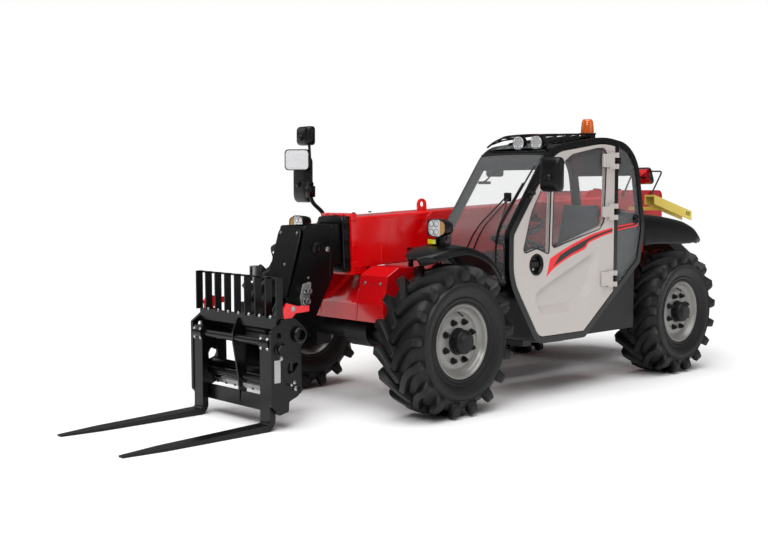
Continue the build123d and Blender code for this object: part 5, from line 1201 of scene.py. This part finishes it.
def build_head():
    """On the boom head: its bolted face plate, pin bosses, hose couplings and brackets."""
    x0, x1 = BOOM_X - 0.133, BOOM_X + 0.133
    # the face plate leans back up the head: from (-0.812, 0.800) by (-0.711, 1.095) to (-0.664, 1.282)
    lean = atan2(0.711 - 0.812, 1.095 - 0.800) * 0.86

    def on_face(surface):
        """A surface laid on an upright plate at the origin, turned and shifted onto the leaning face."""
        return moved(rotated(surface, lean), (0, -0.812, 0.812))

    plate = rounded(((x0 + 0.012, 0.0, 0.01), (x0 + 0.012, 0.470, 0.045), (x1 - 0.012, 0.470, 0.045),
                     (x1 - 0.012, 0.0, 0.01)), 6)
    slot = oblong(BOOM_X + 0.010, 0.345, BOOM_X + 0.027, 0.392, 0.008)
    black = [on_face(slab(plate, -0.008, 0.004, "y", 0.002)), on_face(slab(slot, -0.0095, -0.007, "y", 0.0005))]
    silver = [on_face(button((x, -0.008, z), (0, -1, 0), 0.010, 0.003, 0.006, 0.005))
              for x, z in ((x0 + 0.045, 0.437), (x1 - 0.045, 0.437), (BOOM_X + 0.030, 0.215))]
    # the rear plate of the head, as a raised rim round the opening that carries the inner section
    rim = rounded(((-0.418, 0.930, 0.02), (-0.406, 1.280, 0.015), (-0.440, 1.280, 0.015), (-0.452, 0.930, 0.02)), 5)
    boss = ((0, 0.046), (0.008, 0.046), (0.012, 0.040), (0.012, 0.016), (0.006, 0.012))
    hub = ((0, 0.050), (0.006, 0.050), (0.009, 0.044), (0.009, 0.004))
    plug = ((0, 0.019), (0.010, 0.019), (0.014, 0.013), (0.016, 0.004))
    for side, x in ((1, x1 - 0.001), (-1, x0 + 0.001)):
        out = (side, 0, 0)
        black += [
            slab(rim, min(x, x + side * 0.006), max(x, x + side * 0.006), "x", 0.002),
            turned(boss, (x, -0.560, 1.130), out, 40),
            turned(hub, (x, -0.800, 0.370), out, 40),
            hex_head((x + side * 0.008, -0.800, 0.370), out, 0.020, 0.012),
        ]
        silver.append(turned(plug, (x, -0.470, 1.118), out, 24))
    # quick couplings on their grey plate, low on the left side
    grey = rounded(((-0.700, 0.740, 0.015), (-0.715, 0.800, 0.01), (-0.690, 0.890, 0.012), (-0.618, 0.905, 0.01),
                    (-0.618, 0.860, 0.01), (-0.640, 0.750, 0.01)), 4)
    grey = slab(grey, x1, x1 + 0.006, "x", 0.0015)
    coupling = ((0, 0.024), (0.016, 0.024), (0.018, 0.020), (0.036, 0.020), (0.038, 0.024), (0.048, 0.024),
                (0.050, 0.013), (0.046, 0.012))
    silver += [turned(coupling, (x1 + 0.004, y, z), (1, 0, 0), 28) for y, z in ((-0.668, 0.845), (-0.680, 0.775))]
    silver += [
        button((x1, -0.640, 0.930), (1, 0, 0), 0.009, 0.006, 0.005, 0.008),
        # the folded bracket at the far side of the head, above the carriage
        brick((x0 - 0.040, -0.905, 0.905), (x0 - 0.034, -0.845, 1.010), 0.001),
        brick((x0 - 0.040, -0.905, 1.004), (x0 + 0.004, -0.845, 1.010), 0.001),
        brick((x0 - 0.006, -0.905, 0.905), (x0 + 0.002, -0.845, 1.010), 0.001),
    ]
    black.append(brick((x0 - 0.028, -0.888, 0.890), (x0 - 0.010, -0.862, 0.985), 0.004))
    black.append(brick((x0 - 0.035, -0.860, 0.915), (x0 + 0.012, -0.780, 0.935), 0.003))
    for k in range(3):
        x, z = x1 - 0.030 - 0.02 * k, 0.560 + 0.02 * k
        black.append(piped(bent(((x, -0.640, z), (x, -0.700, 0.520), (x + 0.005, -0.740, 0.440)), 0.03), 0.008, 10))
    parts = [(joined(*black), "black_satin_enamel"), (joined(*silver), "zinc_plated_steel"),
             (grey, "silver_grey_enamel")]
    dressed("head_fittings", parts, "telescope")


FORK_X = (middle("fork_left")[0], middle("fork_right")[0])


def build_carriage():
    """On the carriage: shaft heads, fork hooks with their bolts, lock pins, and the rubbed lower bar."""
    x0, x1 = -0.475, 0.425
    shaft_y, shaft_z = -1.130, 0.522
    boss = ((0, 0.052), (0.024, 0.052), (0.030, 0.047), (0.030, 0.034), (-0.004, 0.034))
    label = oblong(-1.176, 0.310, -1.128, 0.454, 0.003, 3)
    black, silver, red, vinyl = [], [], [], []
    for side, x in ((1, x1), (-1, x0)):
        out, lever = (side, 0, 0), x - side * 0.0125
        black += [
            button((x, shaft_y, shaft_z), out, 0.044, 0.006, 0.040, 0.008, 36),
            hex_head((x + side * 0.007, shaft_y, shaft_z), out, 0.036, 0.026, washer=False),
            turned(boss, (x, -0.981, 0.603), out, 40),
        ]
        silver += [
            hex_head((x, -1.122, 0.462), out, 0.010, 0.008),
            turned(((-0.05, 0.009), (0.030, 0.009), (0.034, 0.006)), (x, -1.048, 0.290), (side, -0.5, 0), 16),
            button((x, -1.010, 0.262), out, 0.016, 0.010, 0.011, 0.013, 20),
            button((x, -1.020, 0.300), out, 0.013, 0.008, 0.009, 0.010, 20),
            hex_head((lever + side * 0.008, -1.020, 0.770), out, 0.013, 0.010),
        ]
        a, b = (x - 0.0005, x + 0.0015) if side > 0 else (x - 0.0015, x + 0.0005)
        vinyl.append(slab(label, a, b, "x", 0.0004))
        red.append(turned(((-0.011, 0.020), (0.011, 0.020)), (lever, -1.083, 0.756), (1, 0, 0), 24))
    for x in FORK_X:
        # each fork hangs from the shaft by a split hook with two bolts through it
        black.append(turned(((-0.060, 0.036), (0.060, 0.036)), (x, -1.165, 0.560), (1, 0, 0), 32))
        black.append(brick((x - 0.052, -1.196, 0.575), (x + 0.052, -1.168, 0.612), 0.004))
        silver += [hex_head((x + step, -1.196, z), (0, -1, 0), 0.010, 0.008)
                   for step in (-0.034, 0.034) for z in (0.585, 0.528)]
    silver += [hex_head((BOOM_X + 0.115 * k + 0.02, -1.140, 0.722), (0, -1, 0), 0.009, 0.007) for k in range(-3, 4)]
    # the lower bar, rubbed bright by the forks' heels, with its notches, and the tube behind it
    bar = brick((x0 + 0.14, -1.128, 0.232), (x1 - 0.14, -1.116, 0.262), 0.001)
    for k in range(6):
        x = x0 + 0.2 + 0.10 * k
        black.append(brick((x, -1.131, 0.228), (x + 0.016, -1.115, 0.240), 0.001))
    black.append(turned(((0, 0.036), (x1 - x0 - 0.052, 0.036)), (x0 + 0.026, -1.020, 0.330), (1, 0, 0), 32))
    parts = [(joined(*black), "black_satin_enamel"), (joined(*silver), "zinc_plated_steel"),
             (bar, "rubbed_bright_steel"), (joined(*red), "bright_red_enamel"), (joined(*vinyl), "silver_vinyl_film")]
    dressed("carriage_fittings", parts, "carriage")


def build_weight():
    """The cast counterweight: rounded outlines lofted from its front face to its domed back."""
    low, high = spot_box("rear_weights")
    w, z0, z1 = 0.62, low[2] + 0.002, high[2] - 0.002
    back = high[1]

    def outline(grow, drop):
        """The six-cornered outline at a share of its width, its top and foot drawn in by a drop."""
        right = ((0.65 * w * grow, z1 - drop, 0.06), (w * grow, z0 + 0.60 * (z1 - z0), 0.09),
                 (w * grow, z0 + drop, 0.09))
        return rounded([(-x, z, r) for x, z, r in right[::-1]] + list(right), 8)

    # share of the full width, how far the edges draw in, and where the outline lies
    levels = ((1.0, 0.0, low[1] + 0.002), (1.0, 0.0, back - 0.120), (0.985, 0.012, back - 0.050),
              (0.95, 0.035, back - 0.016), (0.90, 0.065, back - 0.006), (0.5, 0.19, back - 0.004))
    cast = lofted([(outline(grow, drop), y) for grow, drop, y in levels])
    eye = ((-0.030, 0.040), (0.000, 0.040), (0.004, 0.034), (0.004, 0.018), (-0.008, 0.016))
    eyes = [turned(eye, (x, back - 0.012, z1 - 0.16), (0, 1, 0), 32) for x in (-0.28, 0.28)]
    dressed("counterweight", [(joined(cast, *eyes), "painted_cast_iron")], "chassis",
            ["rear_weights"])


def build_rear():
    """Behind: slots in the yellow prop, hood vents and latch, weights' bolts, and the filler cap."""
    prop_x = spot_box("safety_prop")[1][0]
    slope = atan2(1.340 - 1.487, 0.600)
    slots = []
    for k in range(3):
        y, z = 3.360 - 0.022 * k, 1.316 + 0.0055 * k
        slot = slab(oblong(y - 0.005, z - 0.018, y + 0.005, z + 0.018, 0.004, 4), prop_x - 0.0005, prop_x + 0.001)
        slots.append(rotated(slot, slope, (1, 0, 0), (prop_x, y, z)))
    bolts = [hex_head((x, 3.578, 0.70), (0, 1, 0), 0.018, 0.014) for x in (-0.52, -0.26, 0.26, 0.52)]

    # louvres on the hood's flank and top, and its lock in a plate
    vents = [brick((-0.902, y, 1.180), (-0.896, y + 0.030, 1.300), 0.002) for y in 2.200 + 0.062 * np.arange(9)]
    vents += [brick((-0.700, y, 1.5195), (-0.420, y + 0.026, 1.5235), 0.0015) for y in 2.900 + 0.055 * np.arange(7)]
    vents.append(slab(oblong(1.250, 0.930, 1.350, 0.985, 0.01, 4), -0.906, -0.899, "x", 0.002))
    lock = button((-0.905, 1.330, 0.957), (-1, 0, 0), 0.016, 0.006, 0.012, 0.008, 20)
    dressed("hood_fittings", [(joined(*vents), "grained_polypropylene"), (lock, "zinc_plated_steel")],
            "hood")
    dressed("rear_fittings", [(joined(*slots), "black_satin_enamel"), (joined(*bolts), "zinc_plated_steel")],
            "chassis")

    cap = ((0, 0.045), (0.012, 0.045), (0.016, 0.040), (0.030, 0.036), (0.034, 0.030))
    cap = joined(turned(cap, (0.66, 2.215, 1.338), (0, 0, 1), 32),
                 brick((0.60, 2.185, 1.330), (0.80, 2.245, 1.3445), 0.004))
    dressed("fender_filler_cap", [(cap, "grained_polypropylene")], "chassis")


def build_frame_finishes():
    """Gives every CAD node that keeps its own shape its finish."""
    for name, nodes in CARRIED.items():
        for node in nodes:
            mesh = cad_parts[node].data
            mesh.materials.clear()
            mesh.materials.append(finish(name))


# ---------------------------------------------------------------- stage


FLOOR_REACH = 40.0              # from the middle to each edge of the floor
CAMERA_AT = (5.805, -5.306 + AXLE_Y, 1.506)
CAMERA_TURN, CAMERA_DIP = radians(46.67), radians(4.15)


def build_stage():
    """A wide pale floor, a white surround, an overhead sun, three soft lamps and the camera."""
    scene = bpy.context.scene

    def staged(name, data):
        """A new object of that data, put in the scene."""
        thing = bpy.data.objects.new(name, data)
        scene.collection.objects.link(thing)
        return thing

    corners = oblong(-FLOOR_REACH, -FLOOR_REACH, FLOOR_REACH, FLOOR_REACH, 8, 8)
    mesh = bpy.data.meshes.new("studio_floor")
    mesh.from_pydata(lifted(corners, "z", 0.0).tolist(), [], [tuple(range(len(corners)))])
    mesh.flip_normals()
    material, tree, shader, place = new_material(
        "painted_studio_floor", {"Roughness": 0.7, "Specular IOR Level": 0.1})
    cloud = add(tree, "ShaderNodeTexNoise", place, Scale=0.3)
    colour = add(tree, "ShaderNodeMix", {"Factor": (cloud, "Fac")},
                 {6: linear("#F8F8F8"), 7: linear("#F6F6F6")}, data_type="RGBA")
    tree.links.new(colour.outputs[2], shader.inputs["Base Color"])
    mesh.materials.append(material)
    staged("studio_floor", mesh)

    # the surround is seen white, and lights the machine more softly than that
    world = bpy.data.worlds.new("studio")
    scene.world = world
    world.use_nodes = True
    tree = world.node_tree
    soft = tree.nodes["Background"]
    soft.inputs["Color"].default_value = (1, 1, 1, 1)
    soft.inputs["Strength"].default_value = 0.19
    white = add(tree, "ShaderNodeBackground", Strength=1.0, Color=(1, 1, 1, 1))
    seen = add(tree, "ShaderNodeLightPath")
    either = add(tree, "ShaderNodeMixShader", {0: (seen, "Is Camera Ray"), 1: (soft, 0), 2: (white, 0)})
    tree.links.new(either.outputs[0], tree.nodes["World Output"].inputs["Surface"])
    sky = bpy.data.lights.new("overhead", "SUN")
    sky.energy, sky.angle = 3.1, radians(62)
    staged("overhead", sky).rotation_euler = (radians(14), radians(10), 0)
    # each lamp: its place, where it points, its power in watts, its width and its height
    for name, place, aim, power, wide, tall in (
        ("key", (4.5, -6.0, 5.5), (0.3, -0.5, 0.8), 150, 2.0, 2.0),
        ("left", (8.0, 2.5, 4.0), (0.5, 0.5, 0.9), 60, 5.0, 3.0),
        ("far", (-7.0, -3.0, 5.0), (0.0, 0.0, 0.8), 60, 4.0, 4.0),
    ):
        data = bpy.data.lights.new(name, "AREA")
        data.shape = "RECTANGLE"
        data.size, data.size_y, data.energy = wide, tall, power
        lamp = staged(name, data)
        lamp.location = place
        lamp.rotation_euler = toward(place, aim)

    lens = bpy.data.cameras.new("camera")
    lens.lens, lens.sensor_width, lens.clip_end = scene.handler_sizes.lens, 36.0, 200.0
    camera = staged("camera", lens)
    camera.location = CAMERA_AT
    camera.rotation_euler = (pi / 2 - CAMERA_DIP, 0.0, CAMERA_TURN)
    scene.camera = camera
    scene.view_settings.view_transform = "Standard"


def toward(place, aim):
    """The turn that points a lamp from a place at an aim."""
    d = np.array(aim, float) - np.array(place, float)
    return (pi - atan2(np.hypot(d[0], d[1]), d[2]), 0.0, atan2(d[1], d[0]) + pi / 2 + pi)


# ---------------------------------------------------------------- the add-on


def colour(name, description, code):
    """A colour a user would change, with its default from an sRGB hex value."""
    return FloatVectorProperty(
        name=name, description=description, subtype="COLOR", size=3, min=0, max=1, default=linear(code)[:3]
    )


class HandlerColours(PropertyGroup):
    """The enamels and films that a user would change first."""

    body: colour("Body", "Enamel of the chassis, nose covers and hood", "#C90A12")
    boom: colour("Boom", "Enamel of the outer boom", "#EB0008")
    door: colour("Door", "Enamel of the door's skin", "#BEB7B3")
    rim: colour("Wheels", "Enamel of the wheels", "#8F8D8A")
    prop: colour("Safety prop", "Enamel of the boom's safety prop", "#EBD262")
    stripe: colour("Stripe", "Film of the door's stripe", "#F2262A")


class HandlerSizes(PropertyGroup):
    """The sizes that a user would change first."""

    bars: IntProperty(name="Tread bars", description="Bars on each side of a tyre", default=17, min=8, max=30)
    bar_width: FloatProperty(
        name="Bar width", description="Width of a tread bar against its usual width", default=1.0, min=0.5,
        max=1.5, subtype="FACTOR")
    mirror_turn: FloatProperty(
        name="Mirror angle", description="How far the left mirror is turned in", default=radians(8), min=0,
        max=radians(40), subtype="ANGLE", unit="ROTATION")
    lens: FloatProperty(
        name="Focal length", description="Focal length of the camera in millimetres", default=50.9, min=18, max=200)


class HANDLER_OT_wheels(Operator):
    """The four treaded tyres and their wheels with hubs and nuts."""

    bl_idname = "handler.wheels"
    bl_label = "Treaded Tyres and Wheels"

    def execute(self, context):
        build_wheels()
        return {"FINISHED"}


class HANDLER_OT_fenders(Operator):
    """The four moulded fenders and their posts."""

    bl_idname = "handler.fenders"
    bl_label = "Fenders"

    def execute(self, context):
        build_fenders()
        return {"FINISHED"}


class HANDLER_OT_nose(Operator):
    """The sloping tray and lidded boxes under the boom."""

    bl_idname = "handler.nose"
    bl_label = "Nose Covers"

    def execute(self, context):
        build_nose()
        return {"FINISHED"}


class HANDLER_OT_lamps(Operator):
    """Headlamps, roof lamps and the beacon."""

    bl_idname = "handler.lamps"
    bl_label = "Lamps and Beacon"

    def execute(self, context):
        build_lamps()
        return {"FINISHED"}


class HANDLER_OT_mirrors(Operator):
    """The mirrors on their arms and stalk."""

    bl_idname = "handler.mirrors"
    bl_label = "Mirrors"

    def execute(self, context):
        build_mirrors()
        return {"FINISHED"}


class HANDLER_OT_glazing(Operator):
    """The windscreen and the seals round the panes."""

    bl_idname = "handler.glazing"
    bl_label = "Glazing"

    def execute(self, context):
        build_glazing()
        return {"FINISHED"}


class HANDLER_OT_roof(Operator):
    """The roof's pane and guard, and the quarter pane's lining."""

    bl_idname = "handler.roof"
    bl_label = "Roof"

    def execute(self, context):
        build_roof()
        return {"FINISHED"}


class HANDLER_OT_door_trim(Operator):
    """The door's stripe, hinge covers, handle and latch."""

    bl_idname = "handler.door_trim"
    bl_label = "Door Trim"

    def execute(self, context):
        build_door_trim()
        return {"FINISHED"}


class HANDLER_OT_wipers(Operator):
    """The windscreen wiper."""

    bl_idname = "handler.wipers"
    bl_label = "Wiper"

    def execute(self, context):
        build_wipers()
        return {"FINISHED"}


class HANDLER_OT_inside(Operator):
    """The inside mirror, steering wheel and column."""

    bl_idname = "handler.inside"
    bl_label = "Cab Controls"

    def execute(self, context):
        build_inside()
        return {"FINISHED"}


class HANDLER_OT_seat(Operator):
    """The padded seat on its base."""

    bl_idname = "handler.seat"
    bl_label = "Seat"

    def execute(self, context):
        build_seat()
        return {"FINISHED"}


class HANDLER_OT_boom(Operator):
    """The boom's lapped plates, flange bolts and collar."""

    bl_idname = "handler.boom"
    bl_label = "Boom Plates"

    def execute(self, context):
        build_boom()
        return {"FINISHED"}


class HANDLER_OT_head(Operator):
    """The face plate, bosses and couplings on the boom head."""

    bl_idname = "handler.head"
    bl_label = "Head Fittings"

    def execute(self, context):
        build_head()
        return {"FINISHED"}


class HANDLER_OT_carriage(Operator):
    """The pins, hooks and bolts on the carriage."""

    bl_idname = "handler.carriage"
    bl_label = "Carriage Fittings"

    def execute(self, context):
        build_carriage()
        return {"FINISHED"}


class HANDLER_OT_weight(Operator):
    """The cast counterweight at the back."""

    bl_idname = "handler.weight"
    bl_label = "Counterweight"

    def execute(self, context):
        build_weight()
        return {"FINISHED"}


class HANDLER_OT_rear(Operator):
    """The hood's vents, the prop's slots and the weights' bolts."""

    bl_idname = "handler.rear"
    bl_label = "Rear Fittings"

    def execute(self, context):
        build_rear()
        return {"FINISHED"}


class HANDLER_OT_frame_finishes(Operator):
    """The finishes of the frame's own parts."""

    bl_idname = "handler.frame_finishes"
    bl_label = "Frame Finishes"

    def execute(self, context):
        build_frame_finishes()
        return {"FINISHED"}


class HANDLER_OT_stage(Operator):
    """The floor, lights and camera."""

    bl_idname = "handler.stage"
    bl_label = "Stage"

    def execute(self, context):
        build_stage()
        return {"FINISHED"}


OPERATORS = (
    HANDLER_OT_wheels, HANDLER_OT_fenders, HANDLER_OT_nose, HANDLER_OT_lamps, HANDLER_OT_mirrors,
    HANDLER_OT_glazing, HANDLER_OT_roof, HANDLER_OT_door_trim, HANDLER_OT_wipers, HANDLER_OT_inside,
    HANDLER_OT_seat, HANDLER_OT_boom, HANDLER_OT_head, HANDLER_OT_carriage, HANDLER_OT_weight,
    HANDLER_OT_rear, HANDLER_OT_frame_finishes, HANDLER_OT_stage,
)


class HANDLER_PT_panel(Panel):
    """Lists the properties and the operators."""

    bl_label = "Telescopic Handler"
    bl_space_type = "VIEW_3D"
    bl_region_type = "UI"
    bl_category = "Handler"

    def draw(self, context):
        column = self.layout.column()
        for group in (context.scene.handler_colours, context.scene.handler_sizes):
            for name in group.__annotations__:
                column.prop(group, name)
        for operator in OPERATORS:
            column.operator(operator.bl_idname)


CLASSES = (HandlerColours, HandlerSizes, *OPERATORS, HANDLER_PT_panel)


def register():
    """Makes the classes and both property groups known to Blender."""
    for kind in CLASSES:
        bpy.utils.register_class(kind)
    bpy.types.Scene.handler_colours = PointerProperty(type=HandlerColours)
    bpy.types.Scene.handler_sizes = PointerProperty(type=HandlerSizes)


def unregister():
    """Takes them back in the opposite order."""
    del bpy.types.Scene.handler_sizes
    del bpy.types.Scene.handler_colours
    for kind in reversed(CLASSES):
        bpy.utils.unregister_class(kind)


def main():
    """Builds every piece in order."""
    register()
    for operator in OPERATORS:
        group, name = operator.bl_idname.split(".")
        getattr(getattr(bpy.ops, group), name)()


if __name__ == "__main__":
    main()
